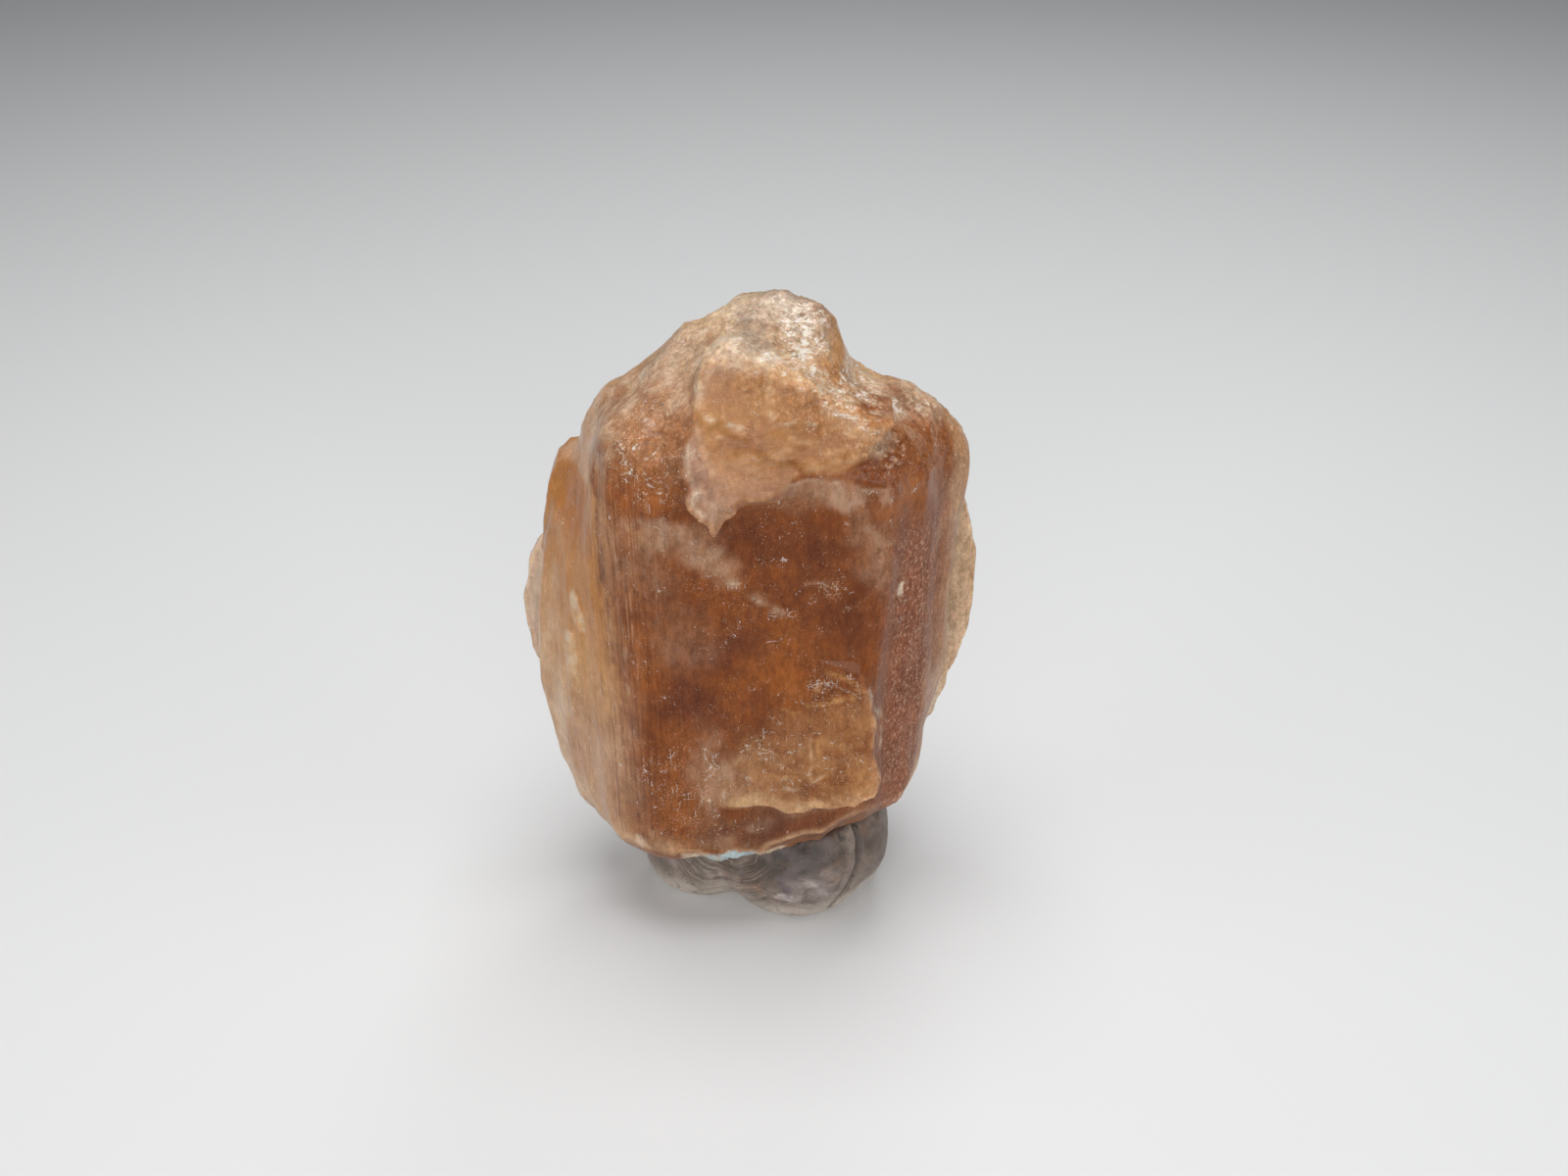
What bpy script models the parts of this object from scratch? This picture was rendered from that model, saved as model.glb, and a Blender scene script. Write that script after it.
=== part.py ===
# Childrenite crystal standing in the lump of mounting putty that holds it upright.
# The crystal is one stout piece: a broad front face, two striated sides that run back from it,
# a broken top with a peak, and thinner plates grown on its front, left and right.
# The origin is the middle of the putty's flat underside. +Z is up and the broad face looks along -Y.

import math

import bmesh
import bpy
from mathutils import Vector, noise

MM = 0.001

# Driving sizes, in millimetres. Depths run along Y, from the front face to the back.
FRONT_Y = -3.9
EDGE_Y = -3.4  # outer edge of the narrow striated facets beside the front face
BROW_Y = -2.4
WIDEST_Y = 0.6
LEE_Y = 3.2
BACK_Y = 5.2
WIDEST_BAND = 0.8  # how deep the body stays at its widest
CORE_X, CORE_Z = -0.8, 13.5  # a middle that every outline of the body surrounds
SECTION_POINTS = 180

# Outlines of the body at those depths, as (x, z), clockwise from the top left
FRONT_OUTLINE = [
    (-4.4, 22.4), (-3.4, 22.9), (-2.2, 22.8), (0.4, 22.2), (3.0, 22.4), (3.9, 22.0), (4.0, 20.6),
    (4.0, 18.0), (3.8, 15.0), (3.7, 12.0), (3.8, 8.8), (3.3, 7.4), (1.4, 6.1), (0.0, 5.4),
    (-1.9, 4.9), (-3.5, 5.1), (-4.5, 6.2), (-4.7, 8.8), (-4.7, 12.6), (-4.6, 16.2), (-4.5, 19.5),
]
EDGE_OUTLINE = [
    (-5.5, 22.8), (-4.6, 23.5), (-2.8, 23.6), (-1.0, 23.3), (0.8, 23.1), (2.6, 23.2), (4.2, 22.7), (4.6, 21.0),
    (4.5, 18.0), (4.3, 15.0), (4.2, 12.0), (4.4, 8.8), (4.0, 7.1), (1.9, 5.6), (0.0, 4.9),
    (-2.1, 4.5), (-4.3, 4.3), (-5.4, 5.2), (-5.4, 8.8), (-5.5, 12.6), (-5.6, 16.2), (-5.7, 19.5),
]
BROW_OUTLINE = [
    (-5.9, 23.4), (-4.6, 24.3), (-3.0, 24.8), (-2.2, 25.4), (-0.6, 25.9), (0.8, 25.2), (2.2, 24.5),
    (3.4, 23.7), (4.7, 23.0), (5.4, 21.8), (5.4, 20.2), (5.2, 18.0), (5.1, 13.5), (5.2, 9.8),
    (5.4, 7.8), (5.1, 6.4), (3.4, 5.4), (0.6, 4.1), (-2.4, 3.8), (-5.2, 3.6), (-6.5, 4.6),
    (-6.8, 6.4), (-6.7, 9.0), (-6.6, 12.6), (-6.6, 16.6), (-6.5, 20.0), (-6.3, 22.2),
]
WIDEST_OUTLINE = [
    (-4.8, 24.0), (-4.1, 24.6), (-3.4, 25.5), (-2.3, 26.0), (-1.2, 26.6), (-0.1, 26.9), (1.2, 26.8),
    (2.0, 26.3), (2.4, 25.4), (2.9, 24.3), (3.6, 23.7), (4.6, 23.4), (5.7, 22.8), (6.6, 22.0), (7.2, 20.9),
    (7.2, 19.6), (7.0, 18.0), (6.9, 15.0), (6.9, 12.0), (6.6, 9.6), (6.2, 7.8), (6.2, 6.0),
    (5.7, 4.7), (4.4, 3.8), (2.5, 2.9), (0.0, 2.4), (-3.0, 2.2), (-5.7, 2.2), (-7.4, 3.0),
    (-8.3, 4.2), (-8.9, 6.0), (-9.2, 8.2), (-9.4, 10.2), (-9.3, 12.5), (-9.2, 14.6), (-8.8, 17.0),
    (-8.3, 18.8), (-7.6, 20.0), (-7.1, 21.0), (-6.7, 22.3), (-6.0, 23.3),
]
LEE_OUTLINE = [
    (-4.0, 23.4), (-2.4, 24.8), (-1.0, 25.5), (0.6, 25.2), (2.2, 23.6), (3.6, 22.5), (5.2, 21.4),
    (6.1, 19.8), (6.5, 17.0), (6.5, 12.0), (6.0, 8.0), (4.6, 5.0), (2.0, 3.6), (-1.5, 3.2),
    (-4.8, 3.8), (-7.0, 5.8), (-8.2, 9.6), (-8.2, 14.6), (-7.3, 18.9), (-6.0, 21.8),
]
BACK_OUTLINE = [
    (-3.4, 21.8), (0.2, 22.4), (3.0, 20.6), (4.0, 17.4), (4.2, 12.0), (3.4, 8.0), (1.0, 6.0),
    (-2.6, 5.8), (-5.0, 7.6), (-5.8, 11.8), (-5.6, 17.0), (-4.8, 20.2),
]
SECTIONS = [
    (BACK_Y, BACK_OUTLINE),
    (LEE_Y, LEE_OUTLINE),
    (WIDEST_Y + WIDEST_BAND, WIDEST_OUTLINE),
    (WIDEST_Y, WIDEST_OUTLINE),
    (BROW_Y, BROW_OUTLINE),
    (EDGE_Y, EDGE_OUTLINE),
    (FRONT_Y, FRONT_OUTLINE),
]

# Plates grown on the body: outline, depth of the root inside the body, depth of the face at
# the height given, and how far the face falls back for each millimetre across and up
UPPER_PLATE = dict(
    outline=[
        (-2.4, 25.8), (-2.6, 24.6), (-2.5, 23.4), (-2.0, 22.2), (-1.6, 21.4), (-1.0, 21.6), (-0.3, 21.6),
        (0.3, 21.9), (0.9, 22.4), (2.3, 22.4), (2.9, 22.7), (3.5, 23.3), (4.1, 23.9), (3.2, 24.2),
        (2.1, 24.6), (1.3, 25.2), (0.4, 25.6), (-0.4, 26.0), (-1.3, 26.4),
    ],
    root=-1.0, face=-4.3, height=21.5, fall_across=0.07, fall_up=0.42,
)
CLIFF_FLAKE = dict(
    outline=[
        (-2.6, 23.9), (-2.8, 23.4), (-3.0, 22.9), (-3.05, 22.5), (-2.8, 22.1), (-2.9, 21.6),
        (-2.6, 21.1), (-2.3, 20.9), (-1.95, 20.4), (-1.6, 20.9), (-1.2, 21.2), (-1.2, 21.8),
        (-1.7, 22.5), (-2.1, 23.2), (-2.3, 23.8),
    ],
    root=-2.0, face=-4.3, height=21.5, fall_across=0.04, fall_up=0.40,
)
LOWER_PLATE = dict(
    outline=[
        (-1.8, 13.6), (0.6, 14.8), (3.3, 14.3), (3.8, 12.2), (3.8, 10.6), (4.0, 9.8), (3.8, 8.9),
        (3.0, 8.3), (2.3, 8.1), (1.5, 8.0), (1.0, 7.7), (0.5, 7.5), (0.0, 7.8), (-0.5, 7.9), (-1.1, 7.7),
        (-2.1, 7.6), (-2.3, 9.6), (-1.9, 11.6),
    ],
    root=-2.5, face=-4.15, height=8.0, fall_across=-0.19, fall_up=0.08,
)
RIGHT_PLATE = dict(
    outline=[
        (5.0, 18.4), (6.9, 18.4), (7.5, 17.4), (7.9, 15.6), (8.0, 13.6), (7.8, 11.4), (7.2, 9.2),
        (6.6, 7.4), (6.0, 6.9), (4.6, 7.6),
    ],
    root=2.9, face=1.3, height=12.0, fall_across=0.12, fall_up=0.0,
)
LEFT_PLATE = dict(
    outline=[
        (-7.0, 16.2), (-9.0, 16.0), (-9.7, 14.8), (-10.1, 12.8), (-10.1, 11.4), (-9.8, 10.0), (-9.4, 9.2),
        (-9.2, 8.0), (-7.0, 7.6),
    ],
    root=2.6, face=0.9, height=12.0, fall_across=-0.25, fall_up=0.0,
)
LEFT_FLAKE = dict(
    outline=[
        (-6.6, 20.9), (-7.5, 20.7), (-8.0, 20.2), (-8.4, 19.0), (-8.8, 17.3), (-9.0, 16.2), (-6.6, 15.4),
    ],
    root=2.0, face=-1.5, height=18.0, fall_across=-0.3, fall_up=0.02,
)
BACK_PLATE = dict(
    outline=[
        (-4.8, 19.0), (-3.9, 20.4), (-1.8, 20.8), (-1.2, 19.2), (-1.5, 14.0), (-1.0, 10.2), (-2.0, 7.6),
        (-3.6, 6.8), (-4.9, 8.6), (-5.2, 13.0),
    ],
    root=3.4, face=5.7, height=13.0, fall_across=0.06, fall_up=-0.03,
)
BACK_RIB = dict(
    outline=[(1.4, 18.6), (2.9, 17.8), (3.3, 13.0), (2.7, 9.4), (1.3, 8.6), (1.0, 13.4)],
    root=3.4, face=5.6, height=13.0, fall_across=-0.08, fall_up=-0.02,
)
PLATES = [
    UPPER_PLATE, CLIFF_FLAKE, LOWER_PLATE, RIGHT_PLATE, LEFT_PLATE, LEFT_FLAKE, BACK_PLATE, BACK_RIB,
]

# Relief of the skin: ribs run up the sides, the broken ends are rough, the front face is smooth
GRAIN = 0.24  # voxel that joins the plates to the body
RIB_SPACING = 0.9  # across the striations
RIB_LENGTH = 11.0  # along them
RIB_HEIGHT = 0.20
LUMP_SPACING = 2.6
LUMP_LENGTH = 4.2
LUMP_HEIGHT = 0.16
BREAK_SPACING = 1.1
BREAK_HEIGHT = 0.30
FINER = 2.0  # how many times finer the second set of ribs and breaks is than the first
FINER_SHARE = 0.5  # and how high it is beside the first
GLASSY_SHARE = 0.35  # of the relief, left on the smooth front face
CRYSTAL_TRIANGLES = 7600

# The lump of putty: centres and half sizes of the lobes that it was kneaded from
PUTTY_LOBES = [
    ((0.9, -0.4, 2.4), (3.4, 2.8, 3.3)),
    ((3.0, 0.4, 2.7), (1.9, 2.5, 3.1)),
    ((-3.0, 0.6, 1.3), (2.6, 2.2, 2.1)),
    ((-0.1, 1.1, 1.3), (3.9, 2.1, 2.4)),
]
PUTTY_GRAIN = 0.3
PUTTY_TRIANGLES = 1600
SEAT_GAP = 0.36  # left all round the crystal's foot
SEAT_TOP = 8.0
SEAT_TRIANGLES = 900


def clear_scene():
    for thing in list(bpy.data.objects):
        bpy.data.objects.remove(thing)


def reach(outline, bearing):
    """Distance from the core to the outline along a bearing."""
    toward = Vector((math.cos(bearing), math.sin(bearing)))
    distance = 0.0
    for (ax, az), (bx, bz) in zip(outline, outline[1:] + outline[:1]):
        start = Vector((ax - CORE_X, az - CORE_Z))
        side = Vector((bx - ax, bz - az))
        turn = toward.cross(side)
        if turn == 0:
            continue
        share = start.cross(toward) / turn
        if 0 <= share <= 1:
            distance = max(distance, start.cross(side) / turn)
    return distance


def put_on_outline(face, y, outline):
    """Slide a section's corners along their own bearings onto an outline."""
    for corner in face.verts:
        bearing = math.atan2(corner.co.z - CORE_Z * MM, corner.co.x - CORE_X * MM)
        distance = reach(outline, bearing)
        corner.co.x = (CORE_X + distance * math.cos(bearing)) * MM
        corner.co.y = y * MM
        corner.co.z = (CORE_Z + distance * math.sin(bearing)) * MM


def pull_out(mesh, face):
    """Extrude one face and give back the new one."""
    made = bmesh.ops.extrude_face_region(mesh, geom=[face])
    return next(item for item in made["geom"] if isinstance(item, bmesh.types.BMFace))


def add_body(mesh):
    """The body, drawn out section by section from its back face to its front face."""
    start = []
    for k in range(SECTION_POINTS):
        bearing = 2 * math.pi * k / SECTION_POINTS
        x = CORE_X + math.cos(bearing)
        z = CORE_Z + math.sin(bearing)
        start.append(mesh.verts.new((x * MM, 0, z * MM)))
    face = mesh.faces.new(start)
    put_on_outline(face, *SECTIONS[0])
    for y, outline in SECTIONS[1:]:
        face = pull_out(mesh, face)
        put_on_outline(face, y, outline)


def add_plate(mesh, outline, root, face, height, fall_across, fall_up):
    """A plate whose flat face leans back from the body's front."""
    base = mesh.faces.new([mesh.verts.new((x * MM, root * MM, z * MM)) for x, z in outline])
    for corner in pull_out(mesh, base).verts:
        x = corner.co.x / MM
        z = corner.co.z / MM
        corner.co.y = (face + fall_across * x + fall_up * (z - height)) * MM


def new_object(name, mesh):
    data = bpy.data.meshes.new(name)
    mesh.to_mesh(data)
    mesh.free()
    thing = bpy.data.objects.new(name, data)
    bpy.context.collection.objects.link(thing)
    return thing


def apply_modifiers(thing):
    """Turn the evaluated shape into the object's own mesh."""
    graph = bpy.context.evaluated_depsgraph_get()
    made = bpy.data.meshes.new_from_object(thing.evaluated_get(graph))
    thing.modifiers.clear()
    thing.data = made


def remesh(thing, voxel):
    skin = thing.modifiers.new("Skin", "REMESH")
    skin.mode = "VOXEL"
    skin.voxel_size = voxel * MM
    apply_modifiers(thing)


def thin_out(thing, triangles):
    """Collapse the mesh to about this many triangles."""
    thing.data.calc_loop_triangles()
    thin = thing.modifiers.new("Facets", "DECIMATE")
    thin.ratio = triangles / len(thing.data.loop_triangles)
    thin.use_collapse_triangulate = True
    apply_modifiers(thing)


def wave(place, spacing_x, spacing_y, spacing_z):
    return noise.noise(Vector((place.x / spacing_x, place.y / spacing_y, place.z / spacing_z)))


def rough(place, across, along):
    """Relief of two sizes, the second finer and lower than the first."""
    return wave(place, across, across, along) + FINER_SHARE * wave(place * FINER, across, across, along)


def skin_height(place, normal):
    """Relief at a place on the crystal whose surface looks along the normal."""
    level = abs(normal.z)
    ahead = max(0.0, -normal.y) ** 4
    calm = 1 - (1 - GLASSY_SHARE) * ahead
    lumps = LUMP_HEIGHT * wave(place, LUMP_SPACING, LUMP_SPACING, LUMP_LENGTH)
    ribs = RIB_HEIGHT * rough(place, RIB_SPACING, RIB_LENGTH) * (1 - level) ** 2
    breaks = BREAK_HEIGHT * rough(place, BREAK_SPACING, BREAK_SPACING) * level
    return (lumps + ribs) * calm + breaks


def etch(thing):
    moves = []
    for corner in thing.data.vertices:
        place = corner.co / MM
        moves.append(corner.normal * skin_height(place, corner.normal) * MM)
    for corner, move in zip(thing.data.vertices, moves):
        corner.co += move


def make_crystal():
    mesh = bmesh.new()
    add_body(mesh)
    for plate in PLATES:
        add_plate(mesh, **plate)
    bmesh.ops.recalc_face_normals(mesh, faces=mesh.faces)
    crystal = new_object("crystal", mesh)
    remesh(crystal, GRAIN)
    etch(crystal)
    return crystal


def cut_level(mesh, height, keep_below):
    """Cut a closed mesh off at a height, and close it again with one flat face."""
    everything = mesh.verts[:] + mesh.edges[:] + mesh.faces[:]
    bmesh.ops.bisect_plane(
        mesh, geom=everything, plane_co=(0, 0, height * MM), plane_no=(0, 0, 1),
        clear_outer=keep_below, clear_inner=not keep_below,
    )
    bmesh.ops.contextual_create(mesh, geom=[edge for edge in mesh.edges if edge.is_boundary])


def make_seat_cutter(crystal):
    """The foot of the crystal with the seat's gap all round it."""
    mesh = bmesh.new()
    mesh.from_mesh(crystal.data)
    for corner in mesh.verts:
        corner.co += corner.normal * SEAT_GAP * MM
    cut_level(mesh, SEAT_TOP, keep_below=True)
    cutter = new_object("seat_cutter", mesh)
    remesh(cutter, PUTTY_GRAIN)
    thin_out(cutter, SEAT_TRIANGLES)
    cutter.hide_render = True
    cutter.display_type = "WIRE"
    return cutter


def make_putty(cutter):
    mesh = bmesh.new()
    for centre, half in PUTTY_LOBES:
        ball = bmesh.ops.create_icosphere(mesh, subdivisions=4, radius=1)
        bmesh.ops.scale(mesh, vec=Vector(half) * MM, verts=ball["verts"])
        bmesh.ops.translate(mesh, vec=Vector(centre) * MM, verts=ball["verts"])
    putty = new_object("putty", mesh)
    remesh(putty, PUTTY_GRAIN)
    thin_out(putty, PUTTY_TRIANGLES)
    pressed = bmesh.new()
    pressed.from_mesh(putty.data)
    cut_level(pressed, 0, keep_below=False)
    pressed.to_mesh(putty.data)
    pressed.free()
    seat = putty.modifiers.new("Seat", "BOOLEAN")
    seat.operation = "DIFFERENCE"
    seat.object = cutter
    return putty


def material(name, colour, roughness):
    finish = bpy.data.materials.new(name)
    finish.use_nodes = True
    shader = finish.node_tree.nodes["Principled BSDF"]
    shader.inputs["Base Color"].default_value = (*colour, 1)
    shader.inputs["Roughness"].default_value = roughness
    shader.inputs["Metallic"].default_value = 0
    return finish


clear_scene()
crystal = make_crystal()
cutter = make_seat_cutter(crystal)
thin_out(crystal, CRYSTAL_TRIANGLES)
putty = make_putty(cutter)
crystal.data.materials.append(material("brown crystal", (0.36, 0.14, 0.06), 0.3))
putty.data.materials.append(material("grey putty", (0.16, 0.13, 0.11), 0.7))
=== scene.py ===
import math

import bmesh
import bpy
import numpy as np
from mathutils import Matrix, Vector, noise
from mathutils.bvhtree import BVHTree


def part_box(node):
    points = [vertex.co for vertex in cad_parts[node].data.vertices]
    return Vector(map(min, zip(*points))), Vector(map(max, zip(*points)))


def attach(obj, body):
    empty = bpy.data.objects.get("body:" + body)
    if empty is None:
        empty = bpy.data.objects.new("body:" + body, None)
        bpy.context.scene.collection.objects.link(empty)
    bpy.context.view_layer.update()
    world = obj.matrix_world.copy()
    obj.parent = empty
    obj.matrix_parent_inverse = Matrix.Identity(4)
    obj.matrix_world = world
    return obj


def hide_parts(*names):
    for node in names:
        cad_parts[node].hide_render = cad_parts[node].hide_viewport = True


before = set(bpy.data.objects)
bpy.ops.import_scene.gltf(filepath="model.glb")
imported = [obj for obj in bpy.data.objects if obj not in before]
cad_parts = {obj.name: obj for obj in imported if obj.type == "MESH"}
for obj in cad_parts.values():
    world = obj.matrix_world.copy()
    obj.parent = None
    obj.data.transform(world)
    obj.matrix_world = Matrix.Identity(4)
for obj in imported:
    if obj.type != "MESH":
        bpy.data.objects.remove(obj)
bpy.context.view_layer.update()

MM = 0.001  # the crystal's and the putty's sizes are given in millimetres

# Camera
# A long look down at the broad front of the crystal from a hand's breadth away, with the whole
# crystal and its putty near the middle of the picture.
CAMERA_PLACE = (0.0004, -0.0485, 0.0482)
CAMERA_DOWN = 34.2  # degrees below level
LENS = 35.35  # on a sensor 36 mm wide

lens = bpy.data.cameras.new("camera")
lens.lens = LENS
lens.sensor_width = 36
lens.clip_start = 0.001
camera = bpy.data.objects.new("camera", lens)
bpy.context.scene.collection.objects.link(camera)
camera.location = CAMERA_PLACE
camera.rotation_euler = (math.radians(90 - CAMERA_DOWN), 0, 0)
bpy.context.scene.camera = camera
bpy.context.scene.view_settings.view_transform = "Standard"


# Body of the crystal
# One stout natural crystal, drawn out upwards: the facets of the solid are smoothed away here,
# and the plates and flakes grown on it get their crisp, jagged borders back.
SOFT_VOXEL = 0.2  # the skin that loses the facets
SOFT_ROUNDS = 14
EDGE_ROUNDS = 12  # of extra smoothing on the upright edges beside the front
SHOULDER_ROUNDS = 12  # of extra smoothing on the left shoulder
FRONT_LEFT, FRONT_RIGHT, FRONT_TOP = -3.4, 2.8, 21  # the upright edges lie outside and below these
SHOULDER_RIGHT, SHOULDER_FRONT, SHOULDER_FOOT = -3.1, -2.6, 22.0
IN_AND_OUT = (0.6, -0.62)  # smoothing one way and back loses no size
SHRINK = 0.04  # keeps the smoothed body inside the solid
PRESSED = 0.08  # the body's skin lies this far under the plates' faces
PRESS_REACH = 0.8  # and only skin this near a plate's face is pressed down
FINE_VOXEL = 0.123  # the skin that takes the relief

# Plates: outline as (x, z), depth of the root, depth of the face at the height given, how far the
# face falls back for each millimetre across and up, and how jagged the border is
UPPER_PLATE = dict(
    outline=[
        (-2.4, 25.8), (-2.6, 24.6), (-2.5, 23.4), (-2.0, 22.2), (-1.6, 21.4), (-1.0, 21.6), (-0.3, 21.6),
        (0.3, 21.9), (0.9, 22.4), (2.3, 22.4), (2.9, 22.7), (3.5, 23.3), (4.1, 23.9), (3.2, 24.2),
        (2.1, 24.6), (1.3, 25.2), (0.4, 25.6), (-0.4, 26.0), (-1.3, 26.4),
    ],
    root=-1.0, face=-4.3, height=21.5, across=0.07, up=0.42, jag=0.2,
)
CLIFF_FLAKE = dict(
    outline=[
        (-2.6, 23.9), (-2.8, 23.4), (-3.0, 22.9), (-3.05, 22.5), (-2.8, 22.1), (-2.9, 21.6),
        (-2.6, 21.1), (-2.3, 20.9), (-1.95, 20.4), (-1.6, 20.9), (-1.2, 21.2), (-1.2, 21.8),
        (-1.7, 22.5), (-2.1, 23.2), (-2.3, 23.8),
    ],
    root=-2.0, face=-4.3, height=21.5, across=0.04, up=0.40, jag=0.16,
)
LOWER_PLATE = dict(
    outline=[
        (-1.8, 13.6), (0.6, 14.8), (3.3, 14.3), (3.8, 12.2), (3.8, 10.6), (4.0, 9.8), (3.8, 8.9),
        (3.0, 8.3), (2.3, 8.1), (1.5, 8.0), (1.0, 7.7), (0.5, 7.5), (0.0, 7.8), (-0.5, 7.9), (-1.1, 7.7),
        (-2.1, 7.6), (-2.3, 9.6), (-1.9, 11.6),
    ],
    root=-2.5, face=-4.15, height=8.0, across=-0.19, up=0.08, jag=0.16,
)
RIGHT_PLATE = dict(
    outline=[
        (5.0, 18.4), (6.9, 18.4), (7.5, 17.4), (7.9, 15.6), (8.0, 13.6), (7.8, 11.4), (7.2, 9.2),
        (6.6, 7.4), (6.0, 6.9), (4.6, 7.6),
    ],
    root=2.9, face=1.3, height=12.0, across=0.12, up=0.0, jag=0.12,
)
LEFT_PLATE = dict(
    outline=[
        (-7.0, 16.2), (-9.0, 16.0), (-9.7, 14.8), (-10.1, 12.8), (-10.1, 11.4), (-9.8, 10.0),
        (-9.4, 9.2), (-9.2, 8.0), (-7.0, 7.6),
    ],
    root=2.6, face=0.9, height=12.0, across=-0.25, up=0.0, jag=0.14,
)
LEFT_FLAKE = dict(
    outline=[
        (-6.6, 20.9), (-7.5, 20.7), (-8.0, 20.2), (-8.4, 19.0), (-8.8, 17.3), (-9.0, 16.2), (-6.6, 15.4),
    ],
    root=2.0, face=-1.5, height=18.0, across=-0.3, up=0.02, jag=0.1,
)
PLATES = [UPPER_PLATE, CLIFF_FLAKE, LOWER_PLATE, RIGHT_PLATE, LEFT_PLATE, LEFT_FLAKE]
PLATE_STEP = 0.25  # between points of a plate's border once it is broken up
JAG_SPACING = 0.9
FACE_REACH = 0.35  # skin this near a plate's face belongs to it
MELT_LINE = [(-2.6, 25.4), (-2.2, 26.0), (-1.3, 26.4), (-0.4, 26.0), (0.4, 25.6), (1.3, 25.2), (2.1, 24.7)]
MELT_REACH = 0.7  # the upper plate's top passes into the peak without a step
MELT_ROUNDS = 14


def merged_copy(node):
    """A bmesh of a CAD node's own mesh, with its loose triangles joined."""
    mesh = bmesh.new()
    mesh.from_mesh(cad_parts[node].data)
    bmesh.ops.remove_doubles(mesh, verts=mesh.verts, dist=1e-7)
    return mesh


def new_object(name, mesh):
    data = bpy.data.meshes.new(name)
    mesh.to_mesh(data)
    mesh.free()
    thing = bpy.data.objects.new(name, data)
    bpy.context.scene.collection.objects.link(thing)
    return thing


def apply_modifiers(thing):
    graph = bpy.context.evaluated_depsgraph_get()
    thing.data = bpy.data.meshes.new_from_object(thing.evaluated_get(graph))
    thing.modifiers.clear()


def reskin(thing, voxel, rounds):
    """Join everything in a mesh in one even skin, and smooth it without making it smaller."""
    skin = thing.modifiers.new("Skin", "REMESH")
    skin.mode = "VOXEL"
    skin.voxel_size = voxel * MM
    for k in range(rounds):
        for factor in IN_AND_OUT:
            calm = thing.modifiers.new("Calm", "SMOOTH")
            calm.factor = factor
            calm.iterations = 1
    apply_modifiers(thing)


def grain(place, spacing):
    """Noise from -1 to 1 whose waves are this wide."""
    return noise.noise(Vector((place.x / spacing, place.y / spacing, place.z / spacing)))


def add_plate(mesh, outline, root, face, height, across, up, jag):
    """A plate with a ragged border, drawn out from its root to its sloping face."""
    base = mesh.faces.new([mesh.verts.new((x, root, z)) for x, z in outline])
    length = sum(edge.calc_length() for edge in base.edges) / len(base.edges)
    cuts = round(length / PLATE_STEP)
    bmesh.ops.subdivide_edges(mesh, edges=base.edges[:], cuts=cuts)
    for corner in base.verts:
        corner.co.x += jag * grain(corner.co, JAG_SPACING)
        corner.co.z += jag * grain(corner.co + Vector((50, 0, 0)), JAG_SPACING)
    made = bmesh.ops.extrude_face_region(mesh, geom=[base])
    for corner in made["geom"]:
        if isinstance(corner, bmesh.types.BMVert):
            corner.co.y = face + across * corner.co.x + up * (corner.co.z - height)


def near_line(spots, line):
    """How far each place lies from a line seen from the front."""
    x = spots[:, 0]
    z = spots[:, 2]
    nearest = np.full(len(spots), 1e9)
    for (ax, az), (bx, bz) in zip(line, line[1:]):
        run = bx - ax
        rise = bz - az
        share = np.clip(((x - ax) * run + (z - az) * rise) / (run * run + rise * rise), 0, 1)
        nearest = np.minimum(nearest, np.hypot(x - ax - share * run, z - az - share * rise))
    return nearest


def inset(spots, outline):
    """How far each place lies inside an outline seen from the front, negative outside."""
    x = spots[:, 0]
    z = spots[:, 2]
    closed = outline + outline[:1]
    inside = np.zeros(len(spots), dtype=bool)
    for (ax, az), (bx, bz) in zip(closed, closed[1:]):
        if bz != az:
            inside ^= ((az > z) != (bz > z)) & (x < ax + (z - az) * (bx - ax) / (bz - az))
    nearest = near_line(spots, closed)
    return np.where(inside, nearest, -nearest)


def smooth(mesh, corners, rounds, upwards=True):
    """Calm some corners of a mesh, which stay at their height if not upwards."""
    for k in range(rounds):
        bmesh.ops.smooth_vert(mesh, verts=corners, factor=0.5, use_axis_x=True, use_axis_y=True,
                              use_axis_z=upwards)


crystal = new_object("crystal_body", merged_copy("crystal"))
reskin(crystal, SOFT_VOXEL, SOFT_ROUNDS)

body = bmesh.new()
body.from_mesh(crystal.data)
bmesh.ops.scale(body, vec=(1 / MM, 1 / MM, 1 / MM), verts=body.verts)
upright = [corner for corner in body.verts if corner.co.y < 0 and corner.co.z < FRONT_TOP
           and not FRONT_LEFT < corner.co.x < FRONT_RIGHT]
smooth(body, upright, EDGE_ROUNDS, upwards=False)
shoulder = [corner for corner in body.verts if corner.co.x < SHOULDER_RIGHT
            and corner.co.y > SHOULDER_FRONT and corner.co.z > SHOULDER_FOOT]
smooth(body, shoulder, SHOULDER_ROUNDS)
body.normal_update()
for corner in body.verts:
    corner.co -= corner.normal * SHRINK
under = np.array([corner.co for corner in body.verts])
for plate in (UPPER_PLATE, CLIFF_FLAKE):
    x, y, z = under.T
    face = plate["face"] + plate["across"] * x + plate["up"] * (z - plate["height"]) + PRESSED
    covered = (inset(under, plate["outline"]) > 0) & (np.abs(y - face) < PRESS_REACH)
    under[:, 1] = np.where(covered, np.maximum(y, face), y)
for corner, place in zip(body.verts, under):
    corner.co = place
first_plate_face = len(body.faces)
for plate in PLATES:
    add_plate(body, **plate)
body.faces.ensure_lookup_table()
bmesh.ops.recalc_face_normals(body, faces=body.faces[first_plate_face:])
bmesh.ops.scale(body, vec=(MM, MM, MM), verts=body.verts)
body.to_mesh(crystal.data)
body.free()
reskin(crystal, FINE_VOXEL, 1)

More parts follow.
